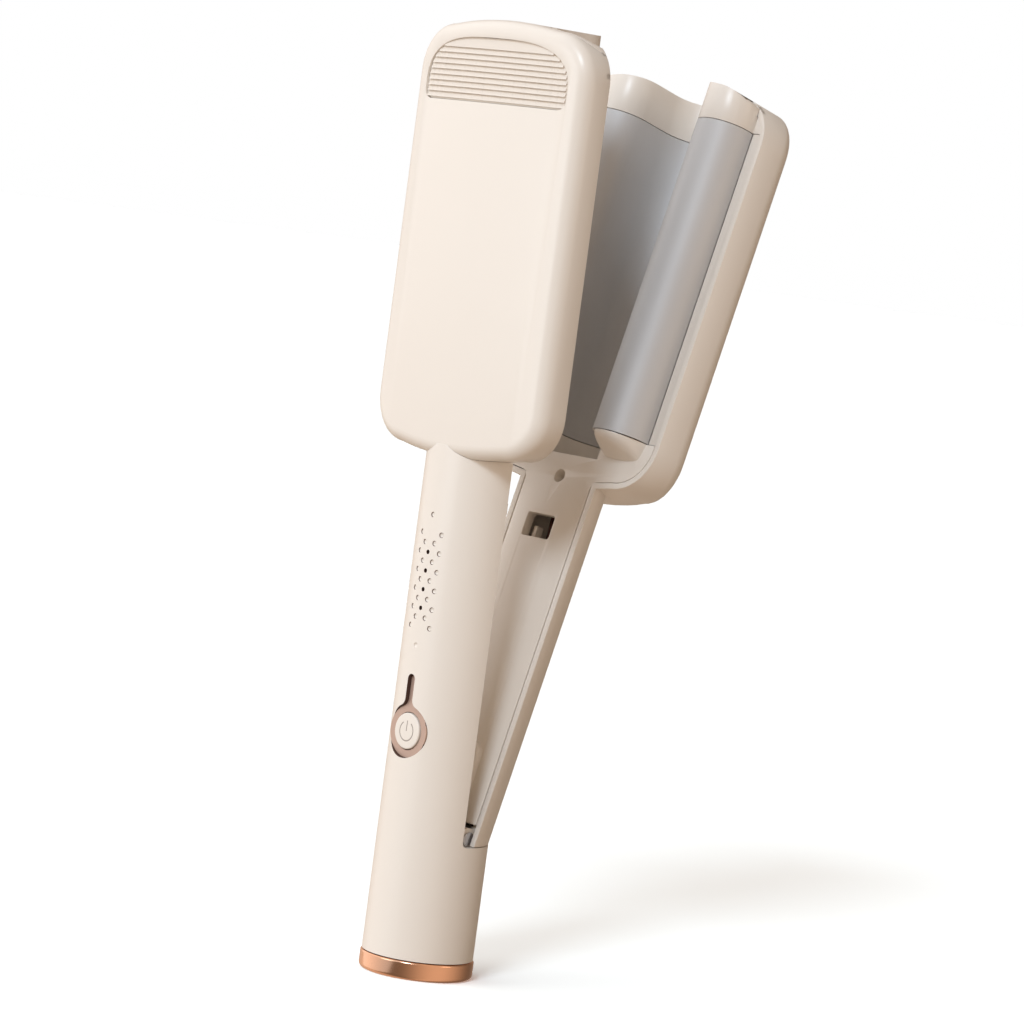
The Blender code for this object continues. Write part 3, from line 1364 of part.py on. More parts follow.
def main():
    """Build every piece of the iron."""
    clear_scene()
    make_handle_shell()
    make_front_cover()
    make_rib_panel()
    make_front_caps()
    make_front_heating()
    make_inner_cover()
    make_lock_hook()
    make_electronics()
    make_button()
    make_hinge()
    make_base()
    make_front_wires()
    make_lever_shell()
    make_lever_cover()
    make_rear_cap()
    make_rear_heating()
    make_lock()
    make_lever_screws()
    open_lever()
    set_button_origin()
    bpy.context.view_layer.update()


main()
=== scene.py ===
"""Looks of a deep wave iron with two arms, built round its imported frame.

Lengths are in metres in the frame's own axes: +Z runs up the handle, -Y is the side with the
button, and the lever arm opens towards +Y. The lever's pieces are shaped as if it were closed
and then turned open about the hinge, which is how the frame holds them at rest.
"""
import json
import logging
import math
from dataclasses import dataclass
from enum import Enum
from typing import Callable, Iterable, Sequence

import bmesh
import bpy
from mathutils import Matrix, Vector

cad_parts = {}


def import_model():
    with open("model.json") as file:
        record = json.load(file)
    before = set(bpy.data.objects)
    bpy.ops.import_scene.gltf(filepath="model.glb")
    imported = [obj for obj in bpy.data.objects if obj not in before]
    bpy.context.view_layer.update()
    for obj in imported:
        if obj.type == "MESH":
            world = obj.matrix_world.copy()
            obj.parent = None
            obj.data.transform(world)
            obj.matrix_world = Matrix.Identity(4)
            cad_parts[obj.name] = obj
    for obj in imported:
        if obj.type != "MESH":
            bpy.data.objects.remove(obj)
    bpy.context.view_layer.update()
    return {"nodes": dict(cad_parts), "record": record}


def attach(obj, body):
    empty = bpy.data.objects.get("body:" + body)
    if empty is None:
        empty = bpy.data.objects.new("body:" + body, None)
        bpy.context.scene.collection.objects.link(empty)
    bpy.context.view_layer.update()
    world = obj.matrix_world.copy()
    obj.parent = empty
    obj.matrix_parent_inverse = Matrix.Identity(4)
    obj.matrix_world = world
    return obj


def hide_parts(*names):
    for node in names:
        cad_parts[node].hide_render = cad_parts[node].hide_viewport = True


LOG = logging.getLogger("wave_iron")

Pair = tuple[float, float]
Triple = tuple[float, float, float]
Colour = tuple[float, float, float]

GAP = 0.0003
WALL = 0.002
OVERRUN = 0.02
MOULDING = 0.0016
PLATE_THICKNESS = 0.0012
GRIP_RADIUS = 0.0195
GRIP_WALL = 0.0022
BARREL_X = 0.0260
PLATE_TOP = 0.2240
HEAD_HALF_WIDTH = 0.0428

ROUND_STEPS = 128
SMALL_STEPS = 32
ARC_STEPS = 12
SHARP_ANGLE = math.radians(34)
WELD_DISTANCE = 2e-6
FLAT_ANGLE = SHARP_ANGLE / 30


class Body(Enum):
    """The frame's bodies that pieces ride on."""

    FRONT = "front_arm"
    LEVER = "lever_arm"
    BUTTON = "power_button"


class Axis(Enum):
    """The axis along which an outline is drawn out."""

    X = "X"
    Y = "Y"
    Z = "Z"

    def place(self, first: float, second: float, along: float) -> Triple:
        """Turn a point of an outline into a point in space.

        Args:
            first: The outline's first coordinate.
            second: The outline's second coordinate.
            along: The distance along this axis.

        Returns:
            The point in space.
        """
        if self is Axis.X:
            return (along, first, second)
        if self is Axis.Y:
            return (first, along, second)
        return (first, second, along)


class Operation(Enum):
    """What a tool does to a solid."""

    CUT = "DIFFERENCE"
    JOIN = "UNION"
    KEEP = "INTERSECT"


class Solid:
    """A closed mesh that is cut, joined and trimmed into one piece."""

    def __init__(self, name: str, shape: bmesh.types.BMesh) -> None:
        """Take over a finished bmesh.

        Args:
            name: The name of the piece.
            shape: The bmesh, which is freed.
        """
        bmesh.ops.recalc_face_normals(shape, faces=shape.faces)
        mesh = bpy.data.meshes.new(name)
        shape.to_mesh(mesh)
        shape.free()
        self.name = name
        self.object = bpy.data.objects.new(name, mesh)
        bpy.context.scene.collection.objects.link(self.object)

    def _result(self, tool: "Solid", operation: Operation, solver: str) -> tuple[bpy.types.Mesh, bool]:
        """Work out one Boolean.

        Args:
            tool: The solid that acts on this one.
            operation: What it does.
            solver: The name of the solver.

        Returns:
            The mesh that is left, and whether it is closed.
        """
        modifier = self.object.modifiers.new(operation.value.lower(), "BOOLEAN")
        modifier.operation = operation.value
        modifier.solver = solver
        modifier.object = tool.object
        mesh = self.harvest(modifier)
        shape = bmesh.new()
        shape.from_mesh(mesh)
        closed = len(shape.faces) > 0 and all(edge.is_manifold for edge in shape.edges)
        shape.free()
        return mesh, closed

    def combine(self, tools: Iterable["Solid"], operation: Operation) -> "Solid":
        """Apply tools one after another and remove them.

        The second solver is for what the first leaves open.

        Args:
            tools: The solids that act on this one.
            operation: What they do.

        Returns:
            This solid.
        """
        for tool in tools:
            mesh, closed = self._result(tool, operation, "EXACT")
            if not closed:
                second, whole = self._result(tool, operation, "MANIFOLD")
                mesh = second if whole else mesh
            mesh.name = self.name
            self.object.data = mesh
            bpy.data.objects.remove(tool.object, do_unlink=True)
        return self

    def cut(self, *tools: "Solid") -> "Solid":
        """Cut tools out of this solid."""
        return self.combine(tools, Operation.CUT)

    def weld(self, *tools: "Solid") -> "Solid":
        """Join tools to this solid as one body."""
        return self.combine(tools, Operation.JOIN)

    def keep(self, *tools: "Solid") -> "Solid":
        """Keep only what lies inside the tools."""
        return self.combine(tools, Operation.KEEP)

    def gather(self, *others: "Solid") -> "Solid":
        """Take the faces of other solids that stand apart from this one into its mesh."""
        shape = bmesh.new()
        shape.from_mesh(self.object.data)
        for other in others:
            shape.from_mesh(other.object.data)
            bpy.data.objects.remove(other.object, do_unlink=True)
        shape.to_mesh(self.object.data)
        shape.free()
        return self

    def soften(self, width: float, segments: int = 2) -> "Solid":
        """Round the sharp edges of this solid.

        Args:
            width: How far the rounding reaches from an edge.
            segments: How many faces it has across.

        Returns:
            This solid.
        """
        shape = bmesh.new()
        shape.from_mesh(self.object.data)
        bmesh.ops.remove_doubles(shape, verts=shape.verts, dist=WELD_DISTANCE)
        bmesh.ops.dissolve_limit(
            shape, angle_limit=FLAT_ANGLE, verts=shape.verts, edges=shape.edges, delimit=set()
        )
        shape.to_mesh(self.object.data)
        shape.free()
        modifier = self.object.modifiers.new("rounding", "BEVEL")
        modifier.width = width
        modifier.segments = segments
        modifier.limit_method = "ANGLE"
        modifier.angle_limit = SHARP_ANGLE
        modifier.use_clamp_overlap = True
        modifier.harden_normals = False
        mesh = self.harvest(modifier)
        mesh.name = self.name
        self.object.data = mesh
        return self

    def harvest(self, modifier: bpy.types.Modifier) -> bpy.types.Mesh:
        """The mesh as a modifier leaves it, with the modifier taken off again."""
        graph = bpy.context.evaluated_depsgraph_get()
        mesh = bpy.data.meshes.new_from_object(self.object.evaluated_get(graph))
        self.object.modifiers.remove(modifier)
        return mesh

    def turn(self, matrix: Matrix) -> "Solid":
        """Move the mesh by a matrix, with the object left at the origin."""
        self.object.data.transform(matrix)
        return self

    def shade(self) -> "Solid":
        """Shade the round faces smooth and keep the sharp edges sharp."""
        self.object.data.shade_smooth()
        self.object.data.set_sharp_from_angle(angle=SHARP_ANGLE)
        return self

    def stand_for(self, node: str, body: Body, slot: str, finishes: Sequence["Finish"]) -> "Solid":
        """Put this solid in the place of a node of the frame.

        Args:
            node: The node that is no longer shown.
            body: The body this piece rides on.
            slot: The record's material slot; not used.
            finishes: The finishes of its material slots.

        Returns:
            This solid.
        """
        self.shade()
        self.object.name = f"{node}_finished"
        self.object.data.name = self.object.name
        painted = [face.material_index for face in self.object.data.polygons]
        self.object.data.materials.clear()
        for finish in finishes:
            self.object.data.materials.append(finish.material())
        for face, index in zip(self.object.data.polygons, painted):
            face.material_index = index
        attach(self.object, body.value)
        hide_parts(node)
        LOG.info("%s: %d faces", self.object.name, len(self.object.data.polygons))
        return self

    def paint(self, slot: int, wanted: Callable[[bpy.types.MeshPolygon], bool]) -> "Solid":
        """Give the faces that meet a test their own material slot.

        Args:
            slot: The number of the material slot.
            wanted: The test of one face.

        Returns:
            This solid.
        """
        for face in self.object.data.polygons:
            if wanted(face):
                face.material_index = slot
        return self


def arc(centre: Pair, radius: float, start: float, end: float, steps: int) -> list[Pair]:
    """Draw part of a circle.

    Args:
        centre: The circle's centre.
        radius: Its radius.
        start: The first angle in degrees.
        end: The last angle in degrees.
        steps: The number of chords.

    Returns:
        The points from start to end.
    """
    points = []
    for index in range(steps + 1):
        angle = math.radians(start + (end - start) * index / steps)
        points.append((centre[0] + radius * math.cos(angle), centre[1] + radius * math.sin(angle)))
    return points


def circle(centre: Pair, radius: float, steps: int) -> list[Pair]:
    """Draw a full circle as a closed outline."""
    return arc(centre, radius, 0, 360 - 360 / steps, steps - 1)


def mirrored(points: Sequence[Pair]) -> list[Pair]:
    """Carry half an outline, drawn from its right end to the middle, over to the left."""
    return list(points) + [(-u, v) for u, v in reversed(points)]


def prism(name: str, outline: Sequence[Pair], axis: Axis, low: float, high: float) -> Solid:
    """Draw a closed outline out along an axis.

    Args:
        name: The name of the solid.
        outline: The corners in order.
        axis: The axis it is drawn along.
        low: Where it starts.
        high: Where it ends.

    Returns:
        The solid.
    """
    return loft(name, (outline, outline), axis, (low, high))


def loft(name: str, outlines: Sequence[Sequence[Pair]], axis: Axis, places: Sequence[float]) -> Solid:
    """Join outlines with the same number of corners into one closed solid.

    Args:
        name: The name of the solid.
        outlines: The outlines in order.
        axis: The axis they follow each other along.
        places: Where each outline lies on that axis.

    Returns:
        The solid.
    """
    shape = bmesh.new()
    rings = []
    for outline, along in zip(outlines, places):
        rings.append([shape.verts.new(axis.place(u, v, along)) for u, v in outline])
    count = len(rings[0])
    for lower, upper in zip(rings, rings[1:]):
        for index in range(count):
            after = (index + 1) % count
            shape.faces.new((lower[index], lower[after], upper[after], upper[index]))
    shape.faces.new(rings[0])
    shape.faces.new(rings[-1])
    return Solid(name, shape)


def block(name: str, low: Triple, high: Triple) -> Solid:
    """Make a box between two corners."""
    outline = [(low[0], low[1]), (high[0], low[1]), (high[0], high[1]), (low[0], high[1])]
    return prism(name, outline, Axis.Z, low[2], high[2])


def rod(
    name: str, centre: Pair, radius: float, axis: Axis, low: float, high: float, steps: int = SMALL_STEPS
) -> Solid:
    """Make a straight round rod along an axis."""
    return prism(name, circle(centre, radius, steps), axis, low, high)


def lathe(name: str, profile: Sequence[Pair], steps: int) -> Solid:
    """Turn a closed profile about the handle's own axis.

    Args:
        name: The name of the solid.
        profile: The corners as radius and height.
        steps: The number of faces round.

    Returns:
        The solid.
    """
    shape = bmesh.new()
    rings = []
    for radius, height in profile:
        rings.append([shape.verts.new((u, v, height)) for u, v in circle((0, 0), radius, steps)])
    for ring, following in zip(rings, rings[1:] + rings[:1]):
        for step in range(steps):
            after = (step + 1) % steps
            shape.faces.new((ring[step], ring[after], following[after], following[step]))
    return Solid(name, shape)


def tube(name: str, outer: float, inner: float, low: float, high: float) -> Solid:
    """Make a round tube about the handle's own axis."""
    profile = [(outer, low), (outer, high), (inner, high), (inner, low)]
    return lathe(name, profile, ROUND_STEPS)


@dataclass(frozen=True)
class HeadForm:
    """Outline and crowned face of one head, drawn in by an inset for its inside."""

    bottom: float
    top: float
    rim: float
    face: float
    crown: float
    fillet: float
    side: int
    corner: float = 0.0165
    bow: float = 0.0022
    column_shares: tuple[float, ...] = (-0.8, -0.6, -0.4, -0.2, 0.0, 0.2, 0.4, 0.6, 0.8)
    row_shares: tuple[float, ...] = (0.1, 0.2, 0.3, 0.4, 0.5, 0.6, 0.7, 0.8, 0.9)

    def edge_steps(self, inset: float) -> list[float]:
        """Distances from the edge at which the form is sampled, closest at the edge."""
        turns = [math.pi / 2 * index / ARC_STEPS for index in range(ARC_STEPS + 1)]
        return [(self.corner - inset) * (1 - math.cos(turn)) for turn in turns]

    def columns(self, inset: float) -> list[float]:
        """Places across the head, closest together near its sides."""
        half = HEAD_HALF_WIDTH - inset
        inner = HEAD_HALF_WIDTH - self.corner
        left = [-half + step for step in self.edge_steps(inset)]
        middle = [inner * share for share in self.column_shares]
        return left + middle + [-place for place in reversed(left)]

    def height_at(self, across: float, inset: float, upper: bool) -> float:
        """Find the outline's height at one place across.

        Args:
            across: The place across the head.
            inset: How far the outline is drawn in.
            upper: Whether the top is meant, or else the bottom.

        Returns:
            The height.
        """
        corner = self.corner - inset
        inner = HEAD_HALF_WIDTH - self.corner
        drop = self.bow * min(abs(across) / inner, 1) ** 2
        beyond = max(abs(across) - inner, 0)
        drop += corner - math.sqrt(max(corner**2 - beyond**2, 0))
        return self.top - inset - drop if upper else self.bottom + inset + drop

    def outline(self, inset: float) -> list[Pair]:
        """The closed outline as seen from the front."""
        places = self.columns(inset)
        lower = [(place, self.height_at(place, inset, False)) for place in places]
        return lower + [(place, self.height_at(place, inset, True)) for place in reversed(places)]

    def edge_distance(self, across: float, height: float, inset: float) -> float:
        """Distance from a point of the face to the outline."""
        corner = self.corner - inset
        inner = HEAD_HALF_WIDTH - self.corner
        near = HEAD_HALF_WIDTH - inset - abs(across)
        bow = self.bow * min(abs(across) / inner, 1) ** 2
        for depth in (self.top - inset - bow - height, height - self.bottom - inset - bow):
            if abs(across) > inner and depth < corner:
                reach = math.hypot(abs(across) - inner, corner - depth)
                near = min(near, corner - reach)
            else:
                near = min(near, depth)
        return max(near, 0)

    def surface(self, across: float, height: float, inset: float = 0.0) -> float:
        """Place of the crowned face along Y."""
        fillet = max(self.fillet - inset, self.fillet / 4)
        depth = min(self.edge_distance(across, height, inset), fillet)
        drop = fillet - math.sqrt(fillet**2 - (fillet - depth) ** 2)
        crown = self.crown * (1 - (across / HEAD_HALF_WIDTH) ** 2)
        return self.face + self.side * (crown - inset - drop)

    def heights(self, across: float, inset: float) -> list[float]:
        """Heights of the points in one column, from its foot to its top."""
        near = self.edge_steps(inset)
        low = self.height_at(across, inset, False)
        high = self.height_at(across, inset, True)
        start = low + near[-1]
        rise = high - near[-1] - start
        middle = [start + rise * share for share in self.row_shares]
        return [low + step for step in near] + middle + [high - step for step in reversed(near)]

    def solid(self, name: str, inset: float = 0.0, rim: float | None = None) -> Solid:
        """Build the filled form, or its inside where an inset is given.

        Args:
            name: The name of the solid.
            inset: How far it is drawn in.
            rim: Where its flat side lies along Y, if not on the head's rim.

        Returns:
            The solid.
        """
        rim = self.rim if rim is None else rim
        shape = bmesh.new()
        grid = []
        for across in self.columns(inset):
            heights = self.heights(across, inset)
            grid.append(
                [shape.verts.new((across, self.surface(across, h, inset), h)) for h in heights]
            )
        for first, second in zip(grid, grid[1:]):
            for row in range(len(first) - 1):
                shape.faces.new((first[row], second[row], second[row + 1], first[row + 1]))
        border = [column[0] for column in grid] + grid[-1][1:]
        border += [column[-1] for column in reversed(grid[:-1])] + list(reversed(grid[0][1:-1]))
        backs = [shape.verts.new((vert.co.x, rim, vert.co.z)) for vert in border]
        for index, vert in enumerate(border):
            after = (index + 1) % len(border)
            shape.faces.new((vert, border[after], backs[after], backs[index]))
        shape.faces.new(backs)
        return Solid(name, shape)

    def inner_prism(self, name: str, inset: float) -> Solid:
        """A tool that trims what fits inside the head."""
        return prism(name, self.outline(inset), Axis.Y, -HEAD_HALF_WIDTH, HEAD_HALF_WIDTH)


@dataclass(frozen=True)
class FrontWave:
    """Section of the front plate: a valley on each side and a ridge in the middle."""

    rim: float = -0.0040
    valley_radius: float = 0.0117
    ridge_half: float = 0.0140
    ridge_tip: float = 0.0224
    ridge_corner: float = 0.0110

    def section(self, offset: float) -> list[Pair]:
        """The whole wave, moved behind its face by an offset."""
        radius = self.valley_radius + offset
        corner = self.ridge_corner - offset
        half = self.ridge_half - offset
        spread = math.degrees(math.asin((offset - self.rim) / radius))
        right = [(HEAD_HALF_WIDTH + WALL, self.rim - offset)]
        right += arc((BARREL_X, 0), radius, -spread, -180, 2 * ARC_STEPS)
        right[-1] = (half, 0)
        right += arc((half - corner, self.ridge_tip - offset - corner), corner, 0, 90, ARC_STEPS)
        return mirrored(right)

    def ridge(self, offset: float, foot: float) -> list[Pair]:
        """The ridge alone, closed along its foot."""
        half = self.ridge_half - offset
        corner = self.ridge_corner - offset
        tip = self.ridge_tip - offset
        return mirrored([(half, foot)] + arc((half - corner, tip - corner), corner, 0, 90, ARC_STEPS))


@dataclass(frozen=True)
class RearWave:
    """Section of the rear plate: a ridge on each side and a valley in the middle."""

    ledge: float = 0.0031
    ridge_radius: float = 0.0105
    valley_half: float = 0.0154
    valley_floor: float = 0.0237
    valley_corner: float = 0.0120

    def section(self, offset: float) -> list[Pair]:
        """The whole wave, moved behind its face by an offset."""
        radius = self.ridge_radius - offset
        ledge = self.ledge + offset
        right = [(HEAD_HALF_WIDTH + WALL, ledge), (BARREL_X + radius, ledge)]
        right += arc((BARREL_X, 0), radius, 0, -180, 2 * ARC_STEPS)
        right[-1] = (self.valley_half + offset, 0)
        return mirrored(right + self.valley_side(offset))

    def valley_side(self, offset: float) -> list[Pair]:
        """The valley's rounded corner on the right."""
        half = self.valley_half + offset
        corner = self.valley_corner + offset
        floor = self.valley_floor + offset
        return arc((half - corner, floor - corner), corner, 0, 90, ARC_STEPS)

    def valley(self, offset: float, mouth: float) -> list[Pair]:
        """The valley alone, closed along its mouth."""
        return mirrored([(self.valley_half + offset, mouth)] + self.valley_side(offset))

    def ridge(self, side: int, radius: float, ledge: float) -> list[Pair]:
        """One ridge alone, closed along its ledge."""
        centre = side * BARREL_X
        ends = ((centre + radius, ledge), (centre - radius, ledge))
        return [ends[0], *arc((centre, 0), radius, 0, -180, 2 * ARC_STEPS), ends[1]]


FRONT_HEAD = HeadForm(0.0905, 0.2406, -0.0040, -0.0152, 0.0041, 0.0046, -1)
REAR_HEAD = HeadForm(0.0887, 0.2390, 0.0025, 0.0190, 0.0090, 0.0060, 1)
FRONT_WAVE = FrontWave()
REAR_WAVE = RearWave()


def sheet(name: str, section: Callable[[float], list[Pair]], trim: int, depth: float, low: float,
          high: float) -> Solid:
    """A sheet that follows a wave.

    Args:
        name: The name of the solid.
        section: The wave at a given offset.
        trim: How many points are left off at each side.
        depth: The thickness of the sheet.
        low: Its lower end.
        high: Its upper end.

    Returns:
        The solid.
    """
    face = section(0)[trim:len(section(0)) - trim]
    back = section(depth)[trim:len(section(depth)) - trim]
    return prism(name, face + list(reversed(back)), Axis.Z, low, high)


class NodeMaker:
    """Adds nodes to a tree and joins them, one short call at a time."""

    def __init__(self, tree: bpy.types.NodeTree) -> None:
        """Keep the tree that nodes are added to."""
        self.tree = tree

    def add(self, kind: str, **values: object) -> bpy.types.Node:
        """Add a node and set its properties and sockets.

        Args:
            kind: The node's type without its common prefix.
            values: Properties by name, and sockets by name with spaces as underscores.

        Returns:
            The node.
        """
        node = self.tree.nodes.new(f"ShaderNode{kind}")
        for name, value in values.items():
            socket = name.replace("_", " ")
            if hasattr(node, name):
                setattr(node, name, value)
            elif isinstance(value, bpy.types.NodeSocket):
                self.tree.links.new(value, node.inputs[socket])
            else:
                node.inputs[socket].default_value = value
        return node

    def math(self, operation: str, first: object, second: object) -> bpy.types.NodeSocket:
        """Join two values by an operation and give the result."""
        node = self.tree.nodes.new("ShaderNodeMath")
        node.operation = operation
        for index, value in enumerate((first, second)):
            if isinstance(value, bpy.types.NodeSocket):
                self.tree.links.new(value, node.inputs[index])
            else:
                node.inputs[index].default_value = value
        return node.outputs[0]

    def spread(self, value: bpy.types.NodeSocket, low: float, high: float) -> bpy.types.NodeSocket:
        """Carry a value from 0 to 1 over to another range."""
        node = self.add("MapRange", Value=value)
        node.inputs["To Min"].default_value = low
        node.inputs["To Max"].default_value = high
        return node.outputs["Result"]

    def blend(self, share: bpy.types.NodeSocket, first: object, second: object) -> bpy.types.NodeSocket:
        """Mix two colours by a share."""
        node = self.tree.nodes.new("ShaderNodeMix")
        node.data_type = "RGBA"
        self.tree.links.new(share, node.inputs["Factor"])
        for socket, value in ((node.inputs[6], first), (node.inputs[7], second)):
            if isinstance(value, bpy.types.NodeSocket):
                self.tree.links.new(value, socket)
            else:
                socket.default_value = (*value, 1.0)
        return node.outputs[2]


CELL_SHARE = 0.35
CLOUD_SHARE = 0.6
CLOUD_SCALE = 30.0
# Painted highlight along edges: how strongly the edge band is lightened, and how finely noise breaks it
# up.
EDGE_HIGHLIGHT_GAIN = 6.0
EDGE_HIGHLIGHT_SCALE = 420.0
DUST_DETAIL = 5.0
DUST_ROUGHNESS = 0.3


class Effect(Enum):
    """The shared effects, each a node group that is built once."""

    GRAIN = "moulded_grain"
    LINES = "brushed_lines"
    DUST = "settled_dust"
    # Painted highlight: a lighter band along rounded edges, standing in for the light they catch.
    PAINTED_HIGHLIGHT = "rubbed_edges"

    def group(self) -> bpy.types.NodeTree:
        """The effect's node group, built at its first use."""
        found = bpy.data.node_groups.get(self.value)
        if found is not None:
            return found
        tree = bpy.data.node_groups.new(self.value, "ShaderNodeTree")
        inputs = {
            Effect.GRAIN: (("Fineness", 900.0), ("Cloudiness", 18.0)),
            Effect.LINES: (("Across", 2600.0), ("Along", 40.0)),
            Effect.DUST: (("Amount", 0.2), ("Patches", 60.0)),
            Effect.PAINTED_HIGHLIGHT: (("Reach", 0.0005), ("Amount", 0.5)),
        }[self]
        outputs = {
            Effect.GRAIN: ("Tone", "Height"),
            Effect.LINES: ("Tone", "Height"),
            Effect.DUST: ("Mask",),
            Effect.PAINTED_HIGHLIGHT: ("Mask",),
        }[self]
        tree.interface.new_socket("Vector", in_out="INPUT", socket_type="NodeSocketVector")
        for name, value in inputs:
            socket = tree.interface.new_socket(name, in_out="INPUT", socket_type="NodeSocketFloat")
            socket.default_value = value
        for name in outputs:
            tree.interface.new_socket(name, in_out="OUTPUT", socket_type="NodeSocketFloat")
        maker = NodeMaker(tree)
        entry = tree.nodes.new("NodeGroupInput")
        leave = tree.nodes.new("NodeGroupOutput")
        {
            Effect.GRAIN: self._grain, Effect.LINES: self._lines,
            Effect.DUST: self._dust, Effect.PAINTED_HIGHLIGHT: self._painted_highlight,
        }[self](maker, entry, leave)
        return tree

    def _grain(self, maker: NodeMaker, entry: bpy.types.Node, leave: bpy.types.Node) -> None:
        """Fine spark grain of a mould, and slow clouds of tone."""
        place = entry.outputs["Vector"]
        fine = maker.add("TexNoise", Vector=place, Scale=entry.outputs["Fineness"], Detail=4.0)
        cells = maker.add("TexVoronoi", Vector=place, Scale=entry.outputs["Fineness"])
        clouds = maker.add("TexNoise", Vector=place, Scale=entry.outputs["Cloudiness"], Detail=3.0)
        relief = maker.math("MULTIPLY", cells.outputs["Distance"], CELL_SHARE)
        height = maker.math("ADD", fine.outputs["Fac"], relief)
        maker.tree.links.new(clouds.outputs["Fac"], leave.inputs["Tone"])
        maker.tree.links.new(height, leave.inputs["Height"])

    def _lines(self, maker: NodeMaker, entry: bpy.types.Node, leave: bpy.types.Node) -> None:
        """Lines that run up the object, fine across and long along."""
        scale = maker.add("CombineXYZ", X=entry.outputs["Across"], Y=entry.outputs["Across"],
                          Z=entry.outputs["Along"])
        stretched = maker.add("VectorMath", operation="MULTIPLY")
        maker.tree.links.new(entry.outputs["Vector"], stretched.inputs[0])
        maker.tree.links.new(scale.outputs[0], stretched.inputs[1])
        lines = maker.add("TexNoise", Vector=stretched.outputs[0], Scale=1.0, Detail=3.0)
        clouds = maker.add("TexNoise", Vector=entry.outputs["Vector"], Scale=CLOUD_SCALE, Detail=2.0)
        tone = maker.math("ADD", maker.math("MULTIPLY", clouds.outputs["Fac"], CLOUD_SHARE),
                          maker.math("MULTIPLY", lines.outputs["Fac"], 1 - CLOUD_SHARE))
        maker.tree.links.new(tone, leave.inputs["Tone"])
        maker.tree.links.new(lines.outputs["Fac"], leave.inputs["Height"])

    def _dust(self, maker: NodeMaker, entry: bpy.types.Node, leave: bpy.types.Node) -> None:
        """Patches of dust on what faces up."""
        normal = maker.add("NewGeometry").outputs["Normal"]
        up = maker.add("SeparateXYZ", Vector=normal).outputs["Z"]
        patches = maker.add("TexNoise", Vector=entry.outputs["Vector"], Scale=entry.outputs["Patches"],
                            Detail=DUST_DETAIL)
        facing = maker.math("MULTIPLY", maker.math("MAXIMUM", up, 0.0), patches.outputs["Fac"])
        mask = maker.math("MULTIPLY", facing, entry.outputs["Amount"])
        maker.tree.links.new(mask, leave.inputs["Mask"])

    def _painted_highlight(self, maker: NodeMaker, entry: bpy.types.Node, leave: bpy.types.Node) -> None:
        """Painted highlight: edges lightened where the surface turns, broken up by noise, standing in for
        the light that rounded edges catch.
        """
        rounded = maker.add("Bevel", samples=4, Radius=entry.outputs["Reach"]).outputs["Normal"]
        plain = maker.add("NewGeometry").outputs["Normal"]
        together = maker.add("VectorMath", operation="DOT_PRODUCT")
        maker.tree.links.new(rounded, together.inputs[0])
        maker.tree.links.new(plain, together.inputs[1])
        turned = maker.math("SUBTRACT", 1.0, together.outputs["Value"])
        broken = maker.add("TexNoise", Vector=entry.outputs["Vector"], Scale=EDGE_HIGHLIGHT_SCALE, Detail=4.0)
        mask = maker.math("MULTIPLY", maker.math("MULTIPLY", turned, EDGE_HIGHLIGHT_GAIN), broken.outputs["Fac"])
        mask = maker.math("MINIMUM", maker.math("MULTIPLY", mask, entry.outputs["Amount"]), 1.0)
        maker.tree.links.new(mask, leave.inputs["Mask"])


